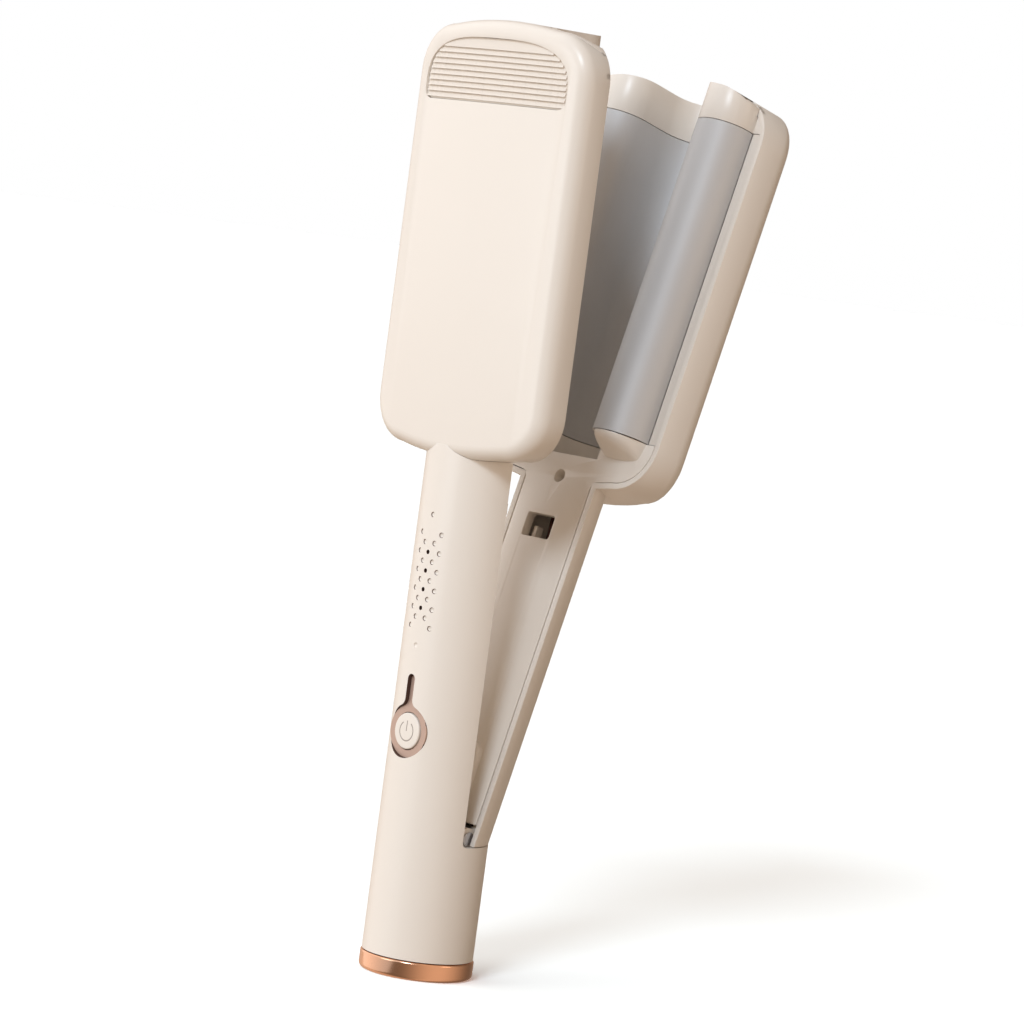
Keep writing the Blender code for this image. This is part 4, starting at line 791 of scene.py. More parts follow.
@dataclass(frozen=True)
class Finish:
    """A moulded or coated surface: two near tones, a grain, a little dust and, where asked, a painted
    highlight along its edges.
    """

    name: str
    light: Colour
    deep: Colour
    roughness: float = 0.4
    roughness_spread: float = 0.06
    metallic: float = 0.0
    fineness: float = 900.0
    cloudiness: float = 18.0
    relief: float = 0.00002
    strength: float = 0.12
    dust: float = 0.08
    # Painted highlight: how much the edges are lightened, and towards which colour.
    edge_highlight: float = 0.0
    edge_highlight_colour: Colour = (0.95, 0.92, 0.88)
    coat: float = 0.0
    coat_roughness: float = 0.1
    specular: float = 0.5

    def effect(self) -> Effect:
        """The effect that gives the surface its texture."""
        return Effect.GRAIN

    def texture_values(self) -> dict[str, float]:
        """What the texture's own sockets are set to."""
        return {"Fineness": self.fineness, "Cloudiness": self.cloudiness}

    def place(self, maker: NodeMaker, effect: Effect, values: dict[str, float],
              vector: bpy.types.NodeSocket) -> bpy.types.Node:
        """Put an effect's group into a material with its own values.

        Args:
            maker: The maker of the material's nodes.
            effect: The effect.
            values: What its sockets are set to.
            vector: The place on the surface.

        Returns:
            The group node.
        """
        node = maker.tree.nodes.new("ShaderNodeGroup")
        node.node_tree = effect.group()
        maker.tree.links.new(vector, node.inputs["Vector"])
        for name, value in values.items():
            node.inputs[name].default_value = value
        return node

    def material(self) -> bpy.types.Material:
        """The finish as a material, built at its first use."""
        found = bpy.data.materials.get(self.name)
        if found is not None:
            return found
        made = bpy.data.materials.new(self.name)
        made.use_nodes = True
        maker = NodeMaker(made.node_tree)
        shader = made.node_tree.nodes["Principled BSDF"]
        vector = maker.add("TexCoord").outputs["Object"]
        texture = self.place(maker, self.effect(), self.texture_values(), vector)
        colour = maker.blend(texture.outputs["Tone"], self.light, self.deep)
        # Paint a highlight along the edges.
        if self.edge_highlight:
            highlight_node = self.place(maker, Effect.PAINTED_HIGHLIGHT, {"Amount": self.edge_highlight}, vector)
            colour = maker.blend(highlight_node.outputs["Mask"], colour, self.edge_highlight_colour)
        roughness = maker.spread(
            texture.outputs["Tone"], self.roughness - self.roughness_spread,
            self.roughness + self.roughness_spread,
        )
        if self.dust:
            dust = self.place(maker, Effect.DUST, {"Amount": self.dust}, vector)
            colour = maker.blend(dust.outputs["Mask"], colour, DUST_COLOUR)
            duller = maker.math("MULTIPLY", dust.outputs["Mask"], DUST_ROUGHNESS)
            roughness = maker.math("ADD", roughness, duller)
        bump = maker.add("Bump", Height=texture.outputs["Height"], Strength=self.strength,
                         Distance=self.relief)
        maker.tree.links.new(colour, shader.inputs["Base Color"])
        maker.tree.links.new(roughness, shader.inputs["Roughness"])
        maker.tree.links.new(bump.outputs["Normal"], shader.inputs["Normal"])
        shader.inputs["Metallic"].default_value = self.metallic
        shader.inputs["Coat Weight"].default_value = self.coat
        shader.inputs["Coat Roughness"].default_value = self.coat_roughness
        shader.inputs["Specular IOR Level"].default_value = self.specular
        made.diffuse_color = (*self.light, 1.0)
        return made


@dataclass(frozen=True)
class DrawnFinish(Finish):
    """A metal surface with fine lines along its length."""

    across: float = 2600.0
    along: float = 40.0

    def effect(self) -> Effect:
        """The effect that gives the surface its texture."""
        return Effect.LINES

    def texture_values(self) -> dict[str, float]:
        """What the texture's own sockets are set to."""
        return {"Across": self.across, "Along": self.along}


DUST_COLOUR: Colour = (0.62, 0.58, 0.54)
# The cream finishes lighten their edges by their edge_highlight share, which is a painted highlight.
CREAM = Finish("cream_moulding", (0.845, 0.795, 0.725), (0.83, 0.775, 0.70), roughness=0.34, dust=0.03,
               strength=0.10, edge_highlight=0.25, coat=0.12, coat_roughness=0.25)
TRIM = Finish("cream_inner_moulding", (0.82, 0.76, 0.685), (0.805, 0.74, 0.66), roughness=0.40, dust=0.04,
              strength=0.12, edge_highlight=0.2)
# Painted shade and highlight: a darker copy of the cream that stands in for the shade among the grooves,
# with strongly lightened edges.
PAINTED_RIB = Finish("cream_ribs", (0.79, 0.73, 0.655), (0.775, 0.71, 0.63), roughness=0.45, dust=0.05, edge_highlight=0.4)
PLATE = DrawnFinish("satin_silver_coating", (0.60, 0.60, 0.60), (0.56, 0.56, 0.56), roughness=0.55,
                    metallic=0.15, dust=0.05, strength=0.08, relief=0.00001)
ROSE = Finish("rose_paint", (0.56, 0.40, 0.32), (0.53, 0.37, 0.295), roughness=0.34, metallic=0.35,
              fineness=1600.0, dust=0.02)
# Painted shade: a dark brown for the walls of the button's recess and of the lights' holes, where the
# shade inside them falls.
RECESS_SHADE = Finish("painted_recess_shade", (0.10, 0.05, 0.035), (0.08, 0.04, 0.028), roughness=0.5, dust=0.0)
MARK = Finish("grey_mark", (0.40, 0.35, 0.31), (0.37, 0.32, 0.28), roughness=0.5, dust=0.0)
COPPER = DrawnFinish("polished_rose_gold", (0.86, 0.50, 0.33), (0.82, 0.46, 0.29), roughness=0.2,
                     roughness_spread=0.03, metallic=1.0, across=300.0, along=9000.0, dust=0.0,
                     strength=0.03, relief=0.000005)
STEEL = DrawnFinish("drawn_steel", (0.58, 0.58, 0.60), (0.48, 0.48, 0.50), roughness=0.3, metallic=1.0)
CERAMIC = Finish("fired_ceramic", (0.82, 0.80, 0.76), (0.74, 0.71, 0.66), roughness=0.55, relief=0.00005)
MICA = Finish("mica_sheet", (0.62, 0.53, 0.36), (0.42, 0.34, 0.20), roughness=0.35, cloudiness=160.0)
BLACK = Finish("black_plastic", (0.035, 0.035, 0.035), (0.02, 0.02, 0.02), roughness=0.42)
BOARD = Finish("green_board", (0.02, 0.20, 0.08), (0.015, 0.15, 0.06), roughness=0.28, cloudiness=300.0)
SMOKED = Finish("smoked_guide", (0.030, 0.024, 0.020), (0.024, 0.020, 0.017), roughness=0.3, dust=0.0)
RUBBER = Finish("black_rubber", (0.03, 0.03, 0.03), (0.018, 0.018, 0.018), roughness=0.68, fineness=500.0,
                relief=0.00005, strength=0.3)
RED = Finish("red_sleeve", (0.15, 0.045, 0.035), (0.12, 0.035, 0.028), roughness=0.5, fineness=400.0)

SLOT_FINISHES: dict[str, Finish] = {
    "cream_shell": CREAM, "cream_trim": TRIM, "silver_plate": PLATE, "rose_trim": ROSE,
    "copper_ring": COPPER, "steel": STEEL, "ceramic": CERAMIC, "mica": MICA, "black_plastic": BLACK,
    "circuit_green": BOARD, "light": SMOKED, "black_rubber": RUBBER, "red_wire": RED,
}


@dataclass(frozen=True)
class Finishes:
    """The finishes that the pieces share."""

    shell: Finish
    trim: Finish
    rib: Finish
    plate: Finish
    rose: Finish
    recess_shade: Finish
    mark: Finish
    copper: Finish


@dataclass
class Surround:
    """Rose coloured surround of the button, its button and the marks on it."""

    finishes: Finishes
    button_height: float = -0.00475
    button_radius: float = 0.0063
    button_proud: float = -0.0008
    button_dome: float = 0.0005
    flange_back: float = -0.0122
    radius: float = 0.0093
    tail_top: float = 0.0151
    tail_half: float = 0.0018
    shoulder_share: float = 1.6
    floor_place: float = -0.0178
    mark_radius: float = 0.0034
    mark_width: float = 0.00045
    mark_depth: float = 0.00010
    mark_ends: Pair = (125, 415)

    def outline(self, offset: float) -> list[Pair]:
        """Drop shaped outline, grown by an offset.

        Args:
            offset: How far it is grown.

        Returns:
            The closed outline as seen from the front.
        """
        radius = self.radius + offset
        half = self.tail_half + offset
        shoulder = self.tail_half * self.shoulder_share - offset / 2
        rise = math.sqrt((radius + shoulder) ** 2 - (half + shoulder) ** 2)
        meet = math.degrees(math.atan2(rise, half + shoulder))
        centre = (half + shoulder, self.button_height + rise)
        right = arc(centre, shoulder, 180, 180 + meet, ARC_STEPS)
        right.reverse()
        bottom = arc((0, self.button_height), radius, -90, meet, 3 * ARC_STEPS)
        tip = arc((0, self.tail_top - self.tail_half), half, 0, 90, ARC_STEPS)
        points = bottom + right[1:] + tip
        return points + [(-u, v) for u, v in reversed(points[1:-1])]

    def build_surround(self) -> None:
        """The sunk floor round the button, its side walls painted dark as painted shade."""
        inner = GRIP_RADIUS - GRIP_WALL - GAP
        low = self.button_height - 2 * self.radius
        high = self.tail_top + self.radius
        far = GRIP_RADIUS + OVERRUN
        floor = prism("surround", self.outline(-GAP / 2), Axis.Y, self.floor_place, 0)
        floor.cut(rod("inside", (0, 0), inner - MOULDING, Axis.Z, low, high, ROUND_STEPS))
        flange = tube("flange", inner, inner - MOULDING, low, high)
        flange.keep(prism("outline", self.outline(MOULDING), Axis.Y, -far, 0))
        floor.weld(flange)
        bore = self.button_radius + GAP
        floor.cut(rod("bore", (0, self.button_height), bore, Axis.Y, -far, 0, 2 * SMALL_STEPS))
        finishes = (self.finishes.rose, self.finishes.recess_shade)
        # Painted shade: the floor's side walls take the dark brown.
        floor.paint(1, lambda f: abs(f.normal.y) < 0.5 and f.center.y < self.floor_place + MOULDING)
        floor.stand_for("button_surround", Body.FRONT, "rose_trim", finishes)

    def button_profile(self) -> list[Pair]:
        """Radius and place along Y from the middle of the domed face to the rim."""
        front = -(GRIP_RADIUS + self.button_proud)
        edge = self.button_dome
        points = []
        for index in range(1, ARC_STEPS + 1):
            share = index / ARC_STEPS
            points.append((share * (self.button_radius - edge), front + edge / 3 * share**2))
        centre = (self.button_radius - edge, front + edge / 3 + edge)
        for u, v in arc((0, 0), edge, -90, 0, ARC_STEPS // 2)[1:]:
            points.append((centre[0] + u, centre[1] + v))
        return points

    def build_button(self) -> None:
        """The sliding button with its domed face and a plain power mark."""
        outlines = []
        places = []
        for radius, along in self.button_profile():
            outlines.append(circle((0, self.button_height), radius, 2 * SMALL_STEPS))
            places.append(along)
        outlines.append(outlines[-1])
        places.append(self.flange_back)
        button = loft("button", outlines, Axis.Y, places)
        front = -(GRIP_RADIUS + self.button_proud) - GAP
        floor = front + GAP + self.mark_depth
        centre = (0.0, self.button_height)
        half = self.mark_width / 2
        start, end = self.mark_ends
        ring = arc(centre, self.mark_radius + half, start, end, SMALL_STEPS)
        ring += arc(centre, self.mark_radius - half, end, start, SMALL_STEPS)
        top = self.button_height + self.mark_radius + half
        bar = block("bar", (-half, front, self.button_height), (half, floor, top))
        button.cut(prism("ring", ring, Axis.Y, front, floor).gather(bar))
        deep = floor - GAP / 30
        reach = self.mark_radius + self.mark_width

        def is_mark(face: bpy.types.MeshPolygon) -> bool:
            """Whether a face is the floor of the sunk mark."""
            near = math.hypot(face.center.x, face.center.z - self.button_height) < reach
            return near and deep < face.center.y < floor + GAP

        button.paint(1, is_mark)
        finishes = (self.finishes.shell, self.finishes.mark)
        button.stand_for("power_button", Body.BUTTON, "cream_shell", finishes)


@dataclass
class Grip:
    """Front half of the round grip, with its lights, dimples and base."""

    finishes: Finishes
    surround: Surround
    bottom: float = -0.0893
    ring_height: float = 0.0064
    top: float = 0.0902
    collar: float = 0.0045
    rim: float = -0.042
    cut_plane: float = -0.0033
    notch_radius: float = 0.0020
    light_radius: float = 0.0008
    light_pitch: float = 0.006465
    light_first: float = 0.05741
    light_count: int = 4
    dimple_radius: float = 0.00098
    dimple_depth: float = 0.00055
    dimple_shares: tuple[float, ...] = (0.0, 0.35, 0.7, 1.0)
    dimple_closing: float = 0.92
    single_dimples: Pair = (0.07034, 0.02508)
    columns: tuple[tuple[float, float, int], ...] = ((7.3, 0.06064, 5), (14.84, 0.06387, 6))
    wall_turn: float = 0.8
    lights_above: float = 0.03
    ring_wall: float = 0.0026
    ring_proud: float = 0.0004
    ring_low_round: float = 0.0016
    ring_high_round: float = 0.0007
    ring_low_turn: float = -80

    def dimple_places(self) -> list[tuple[float, float]]:
        """Angle from the front and height of each dimple."""
        pitch = self.light_pitch
        places = [(0.0, height) for height in self.single_dimples]
        for side in (-1, 1):
            for angle, first, count in self.columns:
                places += [(side * angle, first - index * pitch) for index in range(count)]
        return places

    def dimple_tool(self) -> Solid:
        """All dimples as one tool of shallow rounded pits."""
        pits = []
        for angle, height in self.dimple_places():
            outlines = []
            places = []
            for share in self.dimple_shares:
                radius = self.dimple_radius * math.sqrt(1 - (self.dimple_closing * share) ** 2)
                outlines.append(circle((0, height), radius, SMALL_STEPS // 2))
                places.append(-(GRIP_RADIUS - self.dimple_depth * share))
            outlines.insert(0, outlines[0])
            places.insert(0, -(GRIP_RADIUS + self.dimple_depth))
            pit = loft("pit", outlines, Axis.Y, places)
            pits.append(pit.turn(Matrix.Rotation(math.radians(angle), 4, "Z")))
        return pits[0].gather(*pits[1:])

    def build_shell(self) -> None:
        """The round grip: a full tube at the base and half a tube above the hinge."""
        low = self.bottom + self.ring_height + GAP
        far = GRIP_RADIUS + OVERRUN
        shell = tube("shell", GRIP_RADIUS, GRIP_RADIUS - GRIP_WALL, low, self.top + self.collar)
        shell.cut(FRONT_HEAD.solid("above", -GAP / 3, FRONT_HEAD.rim + OVERRUN))
        corner = (self.cut_plane + self.notch_radius, self.rim + self.notch_radius)
        opening = [(self.cut_plane, self.top + OVERRUN)]
        opening += arc(corner, self.notch_radius, 180, 270, ARC_STEPS)
        opening += [(far, self.rim), (far, self.top + OVERRUN)]
        shell.cut(prism("opening", opening, Axis.X, -far, far))
        shell.cut(prism("surround_hole", self.surround.outline(0), Axis.Y, -far, 0))
        holes = []
        for index in range(self.light_count):
            height = self.light_first - index * self.light_pitch
            holes.append(rod("hole", (0, height), self.light_radius, Axis.Y, -far, 0, SMALL_STEPS // 2))
        shell.cut(holes[0].gather(*holes[1:]))
        shell.cut(self.dimple_tool())
        deep = GRIP_RADIUS - GRIP_WALL + GAP / 3
        finishes = (self.finishes.shell, self.finishes.recess_shade)
        outline_low = self.surround.button_height - self.surround.radius - GAP
        outline_high = self.surround.tail_top + GAP

        def is_shaded_wall(face: bpy.types.MeshPolygon) -> bool:
            """Whether a face is a wall of the surround's hole or of a light's hole, which is painted dark
            as painted shade.
            """
            place = face.center
            radius = math.hypot(place.x, place.y)
            across = face.normal.x * place.x + face.normal.y * place.y
            side_on = abs(across) < radius * self.wall_turn
            inside = outline_low < place.z < outline_high or place.z > self.lights_above
            near = abs(place.x) < self.surround.radius + GAP and place.y < -deep / 2
            return side_on and inside and near and deep < radius < GRIP_RADIUS - GAP / 3

        # Painted shade: the walls of the surround's hole and of the lights' holes are painted dark brown.
        shell.paint(1, is_shaded_wall)
        shell.stand_for("handle_shell", Body.FRONT, "cream_shell", finishes)

    def build_ring(self) -> None:
        """The polished ring at the foot of the grip."""
        low = self.bottom
        high = self.bottom + self.ring_height
        outer = GRIP_RADIUS + self.ring_proud
        inner = GRIP_RADIUS - self.ring_wall
        lower = self.ring_low_round
        upper = self.ring_high_round
        profile = [(inner, low), (outer - lower, low)]
        profile += arc((outer - lower, low + lower), lower, self.ring_low_turn, 0, ARC_STEPS)
        profile += arc((outer - upper, high - upper), upper, 0, 90, ARC_STEPS)
        profile.append((inner, high))
        ring = lathe("ring", profile, 2 * ROUND_STEPS)
        ring.stand_for("base_ring", Body.FRONT, "copper_ring", (self.finishes.copper,))


@dataclass
class FrontHead:
    """Head with the ribbed cover, on the arm that holds the button."""

    finishes: Finishes
    plate_bottom: float = 0.1070
    wave_bottom: float = 0.0980
    nose_bottom: float = 0.1025
    rib_bottom: float = 0.2118
    rib_top: float = 0.2340
    rib_half: float = 0.0358
    rib_side: float = 0.0060
    rib_first: float = 0.2126
    rib_pitch: float = 0.001944
    rib_count: int = 10
    rib_margin_share: float = 0.6
    rib_depth: float = 0.0010
    rib_corner: float = 0.0035
    rib_thickness: float = 0.0014
    arch_width_power: float = 0.62
    arch_height_power: float = 0.8
    edge_round: float = 0.00035

    def arch(self, offset: float) -> list[Pair]:
        """Arched outline of the ribbed panel, drawn in by an offset."""
        half = self.rib_half - offset
        shoulder = self.rib_bottom + self.rib_side
        top = self.rib_top - offset
        low = self.rib_bottom + offset
        centre = (half - self.rib_corner, low + self.rib_corner)
        right = arc(centre, self.rib_corner, -90, 0, ARC_STEPS // 2)
        steps = 3 * ARC_STEPS
        for index in range(steps + 1):
            turn = math.pi / 2 * index / steps
            across = half * math.cos(turn) ** self.arch_width_power
            rise = (top - shoulder) * math.sin(turn) ** self.arch_height_power
            right.append((across, shoulder + rise))
        right[-1] = (0, top)
        return right + [(-u, v) for u, v in reversed(right[:-1])]

    def groove_half(self, height: float) -> float:
        """Half the length of a groove, which stays a margin inside the arch."""
        margin = self.rib_pitch * self.rib_margin_share
        shoulder = self.rib_bottom + self.rib_side
        if height <= shoulder:
            return self.rib_half - margin
        share = (height - shoulder) / (self.rib_top - shoulder)
        turn = math.asin(min(share ** (1 / self.arch_height_power), 1))
        return self.rib_half * math.cos(turn) ** self.arch_width_power - margin

    def build_cover(self) -> None:
        """The crowned outer cover."""
        head = FRONT_HEAD
        cover = head.solid("cover")
        cover.cut(head.solid("inside", WALL, head.rim + OVERRUN))
        neck = GRIP_RADIUS - GRIP_WALL + GAP
        low = head.bottom - OVERRUN
        cover.cut(rod("neck", (0, 0), neck, Axis.Z, low, head.bottom + 2 * WALL, ROUND_STEPS))
        cover.cut(prism("rib_hole", self.arch(0), Axis.Y, -GRIP_RADIUS - OVERRUN, head.face + WALL))
        radius = FRONT_WAVE.valley_radius + MOULDING + 2 * GAP
        for side in (-1, 1):
            centre = (side * BARREL_X, 0)
            cover.cut(rod("notch", centre, radius, Axis.Z, PLATE_TOP, head.top + OVERRUN, ROUND_STEPS))
            edge = BARREL_X + FRONT_WAVE.valley_radius + 2 * GAP
            ends = sorted((side * edge, side * (HEAD_HALF_WIDTH - WALL / 2)))
            corner = (ends[0], head.rim - MOULDING, self.plate_bottom)
            cover.weld(block("ledge", corner, (ends[1], head.rim, PLATE_TOP)))
        cover.soften(self.edge_round)
        cover.stand_for("front_head_cover", Body.FRONT, "cream_shell", (self.finishes.shell,))

    def build_ribs(self) -> None:
        """Sloping ribs that stand on a sunk floor, cut to the arch."""
        head = FRONT_HEAD
        back = head.face + self.rib_thickness
        panel = prism("ribs", self.arch(GAP / 2), Axis.Y, -GRIP_RADIUS - OVERRUN, back)
        panel.keep(head.solid("face", self.rib_depth))
        panel.cut(head.solid("back", self.rib_thickness + self.rib_depth, head.rim + OVERRUN))
        ribs = []
        for index in range(self.rib_count):
            height = self.rib_first + index * self.rib_pitch
            last = index == self.rib_count - 1
            rise = self.rib_pitch * (2 if last else 1) - GAP / 3
            half = self.groove_half(height)
            outlines = []
            places = []
            for step in range(2 * ARC_STEPS + 1):
                across = half * (step / ARC_STEPS - 1)
                proud = head.surface(across, height) + GAP / 3
                floor = head.surface(across, height) + self.rib_depth
                upper = head.surface(across, height + rise) + self.rib_depth
                back = floor + GAP
                high = height + rise
                outlines.append([(proud, height), (back, height), (back, high), (upper, high)])
                places.append(across)
            ribs.append(loft("rib", outlines, Axis.X, places))
        panel.weld(*ribs)
        # The ribs take the darker copy of the cream, which is painted shade.
        panel.stand_for("rib_panel", Body.FRONT, "cream_trim", (self.finishes.rib,))

    def trim_wall(self, cap: Solid) -> Solid:
        """Trim a cap round the cover's own wall."""
        head = FRONT_HEAD
        wall = head.solid("wall", 0, head.rim + GAP)
        wall.cut(head.solid("hollow", WALL + GAP, head.rim + OVERRUN))
        radius = FRONT_WAVE.valley_radius + MOULDING + GAP
        for side in (-1, 1):
            centre = (side * BARREL_X, 0)
            wall.cut(rod("notch", centre, radius, Axis.Z, PLATE_TOP, head.top + OVERRUN, ROUND_STEPS))
        return cap.cut(wall)

    def build_caps(self) -> None:
        """Moulded ends of the wave, above and below the plate."""
        head = FRONT_HEAD
        wave = FRONT_WAVE
        top = head.top - GAP
        upper = sheet("upper", wave.section, 0, MOULDING, PLATE_TOP + GAP, top)
        end = wave.ridge(MOULDING / 2, head.rim + GAP)
        upper.weld(prism("end", end, Axis.Z, top - MOULDING, top))
        upper.keep(head.inner_prism("trim", 0))
        self.trim_wall(upper).soften(self.edge_round)
        upper.stand_for("front_top_cap", Body.FRONT, "cream_trim", (self.finishes.trim,))

        bottom = self.wave_bottom
        high = self.plate_bottom - GAP
        lower = sheet("lower", wave.section, 0, MOULDING, bottom, high)
        wide = HEAD_HALF_WIDTH
        nose = (-wave.ridge_half - GAP, head.rim + GAP, bottom - GAP)
        lower.cut(block("under_nose", nose, (-nose[0], wave.ridge_tip + WALL, self.nose_bottom)))
        floor = head.rim - MOULDING
        panel = block("panel", (-wide, floor, head.bottom), (wide, head.rim, bottom + MOULDING))
        bridge = (wave.ridge_half, head.rim, self.nose_bottom + MOULDING)
        panel.weld(block("bridge", (-bridge[0], floor, bottom), bridge))
        section = wave.ridge(MOULDING / 2, head.rim - MOULDING / 2)
        panel.weld(prism("end", section, Axis.Z, self.nose_bottom, bridge[2] - GAP))
        radius = wave.valley_radius + MOULDING / 2
        spread = math.degrees(math.asin(-head.rim / radius))
        for side in (-1, 1):
            section = arc((side * BARREL_X, 0), radius, 180 + spread, 360 - spread, 2 * ARC_STEPS)
            panel.weld(prism("valley_end", section, Axis.Z, bottom, bottom + MOULDING))
        lower.weld(panel)
        lower.keep(head.inner_prism("trim", WALL + GAP))
        lower.soften(self.edge_round)
        lower.stand_for("front_bottom_cap", Body.FRONT, "cream_trim", (self.finishes.trim,))

    def build_plate(self) -> None:
        """The wave shaped heating plate."""
        plate = sheet("plate", FRONT_WAVE.section, 1, PLATE_THICKNESS, self.plate_bottom, PLATE_TOP)
        plate.stand_for("front_heating_plate", Body.FRONT, "silver_plate", (self.finishes.plate,))


@dataclass
class LeverArm:
    """Arm that swings open, with the rear head and the inner face of the grip."""

    finishes: Finishes
    plate_bottom: float = 0.1087
    nose_bottom: float = 0.1015
    nose_width_share: float = 0.8
    recess_bottom: float = 0.1001
    end_drop: float = 0.0030
    rim: float = -0.042
    panel_half: float = 0.0165
    panel_bottom: float = -0.0340
    lug_radius: float = 0.0040
    lug_inner: float = 0.0132
    lug_thickness: float = 0.0025
    lug_arm: float = 0.0150
    lug_depth_share: float = 0.59
    pin_radius: float = 0.00205
    pivot: Pair = (0.002, -0.03967)
    open_angle: float = math.radians(15.43)
    stop_gap: float = 0.0004
    screws: Pair = (0.0150, 0.0840)
    screw_hole: float = 0.0011
    screw_head: float = 0.0021
    boss_radius: float = 0.0030
    stem_half: float = 0.0018
    slot_low: float = 0.0625
    slot_high: float = 0.0697
    window_half: float = 0.0070
    window_corner: float = 0.0011
    window_low: float = 0.0684
    window_high: float = 0.0771
    hole_height: float = 0.0920
    hole_radius: float = 0.0025
    bulge: float = 0.0026
    bulge_low: float = 0.0790
    bulge_fade: float = 0.0125
    seam_radius: float = 0.0032
    liner_depth: float = 0.0040
    hump_half: float = 0.0100
    hump_top: float = -0.0058
    hump_bottom: float = -0.0330
    hump_proud: float = 0.0048
    hump_round: float = 0.0050
    hump_edge: float = 0.0016
    edge_round: float = 0.00035

    def opening(self) -> Matrix:
        """The turn from the closed place to the open one."""
        pivot = Vector((0, *self.pivot))
        turned = Matrix.Rotation(-self.open_angle, 4, "X")
        return Matrix.Translation(pivot) @ turned @ Matrix.Translation(-pivot)

    def stop_outline(self) -> list[Pair]:
        """Everything below the plane in which the lever's foot meets the base when open."""
        pivot_y, pivot_z = self.pivot
        level = self.rim + self.stop_gap - pivot_z
        slope = math.tan(self.open_angle)
        crossing = pivot_z + level / math.cos(self.open_angle)
        near = -GRIP_RADIUS
        far = GRIP_RADIUS + OVERRUN
        floor = 2 * self.rim
        edge = [(near, crossing + (near - pivot_y) * slope), (far, crossing + (far - pivot_y) * slope)]
        return edge + [(far, floor), (near, floor)]

    def add_lugs(self, shell: Solid) -> None:
        """Two hinge lugs with arms that run up inside the shell."""
        pivot_y, pivot_z = self.pivot
        behind = REAR_HEAD.rim + MOULDING + 2 * GAP
        deep = GRIP_RADIUS * self.lug_depth_share
        clear = self.panel_bottom - 2 * GAP
        arm = [
            (pivot_y, pivot_z), (pivot_y + self.lug_radius, pivot_z), (deep, clear),
            (deep, clear + self.lug_arm), (behind, clear + self.lug_arm), (behind, clear),
            (pivot_y, pivot_z + self.lug_radius / 2),
        ]
        for side in (-1, 1):
            low, high = sorted((side * self.lug_inner, side * (self.lug_inner + self.lug_thickness)))
            lug = rod("lug", self.pivot, self.lug_radius, Axis.X, low, high, 2 * SMALL_STEPS)
            lug.weld(prism("arm", arm, Axis.X, low, high))
            lug.cut(rod("pin_hole", self.pivot, self.pin_radius, Axis.X, low - GAP, high + GAP))
            shell.weld(lug)

    def build_shell(self) -> None:
        """Outer half of the arm: half a grip and the rear head in one moulding."""
        head = REAR_HEAD
        far = GRIP_RADIUS + OVERRUN
        low = self.rim - 2 * self.lug_radius
        shell = rod("shell", (0, 0), GRIP_RADIUS, Axis.Z, low, head.bottom + 2 * WALL, ROUND_STEPS)
        shell.cut(block("front_half", (-far, -far, low - GAP), (far, head.rim, head.top)))
        shell.cut(prism("stop", self.stop_outline(), Axis.X, -far, far))
        shell.weld(head.solid("head"))
        shell.cut(head.solid("inside", WALL, head.rim - OVERRUN))
        inner = GRIP_RADIUS - GRIP_WALL
        shell.cut(rod("bore", (0, 0), inner, Axis.Z, low - OVERRUN, head.bottom + 3 * WALL, ROUND_STEPS))
        notch = REAR_WAVE.valley(MOULDING + 2 * GAP, -far)
        shell.cut(prism("notch", notch, Axis.Z, PLATE_TOP, head.top + OVERRUN))
        for side in (-1, 1):
            edge = BARREL_X + REAR_WAVE.ridge_radius + GAP
            ends = sorted((side * edge, side * (HEAD_HALF_WIDTH - WALL / 2)))
            corner = (ends[0], REAR_WAVE.ledge, self.plate_bottom)
            shell.weld(block("ledge", corner, (ends[1], REAR_WAVE.ledge + MOULDING, PLATE_TOP)))
        self.add_lugs(shell)
        for height in self.screws:
            shell.cut(rod("hole", (0, height), self.screw_hole, Axis.Y, 0, far))
            shell.cut(rod("head", (0, height), self.screw_head, Axis.Y, GRIP_RADIUS - GRIP_WALL / 2, far))
        corner = (self.stem_half, far, self.slot_high)
        shell.cut(block("lock_slot", (-self.stem_half, 0, self.slot_low), corner))
        shell.soften(self.edge_round).turn(self.opening())
        shell.stand_for("lever_shell", Body.LEVER, "cream_shell", (self.finishes.shell,))

    def nose(self, centre: float) -> Solid:
        """Rounded lower end of a ridge, which runs out onto the inner face.

        Args:
            centre: The ridge's place across the head.

        Returns:
            The solid.
        """
        steps = ARC_STEPS
        rings = []
        heights = []
        for index in range(steps + 1):
            share = index / steps
            lift = math.sin(math.pi / 2 * share)
            run = self.plate_bottom - self.nose_bottom
            heights.append(self.plate_bottom - GAP - (1 - share) * run)
            spread = self.nose_width_share + (1 - self.nose_width_share) * math.sqrt(share)
            width = REAR_WAVE.ridge_radius * spread
            depth = MOULDING + (REAR_WAVE.ridge_radius + REAR_WAVE.ledge) * lift
            ring = []
            for turn in range(2 * steps + 1):
                angle = math.pi * turn / (2 * steps)
                across = centre + width * math.cos(angle)
                ring.append((across, REAR_WAVE.ledge + MOULDING - depth * math.sin(angle)))
            rings.append(ring)
        return loft("nose", rings, Axis.Z, heights)

    def hump_outline(self, inset: float) -> list[Pair]:
        """Outline of the hump over the hinge spring, rounded at its top."""
        half = self.hump_half - inset
        corner = self.hump_round
        top = self.hump_top - inset
        right = [(half, self.hump_bottom + inset)]
        right += arc((half - corner, top - corner), corner, 0, 90, ARC_STEPS)
        return mirrored(right)

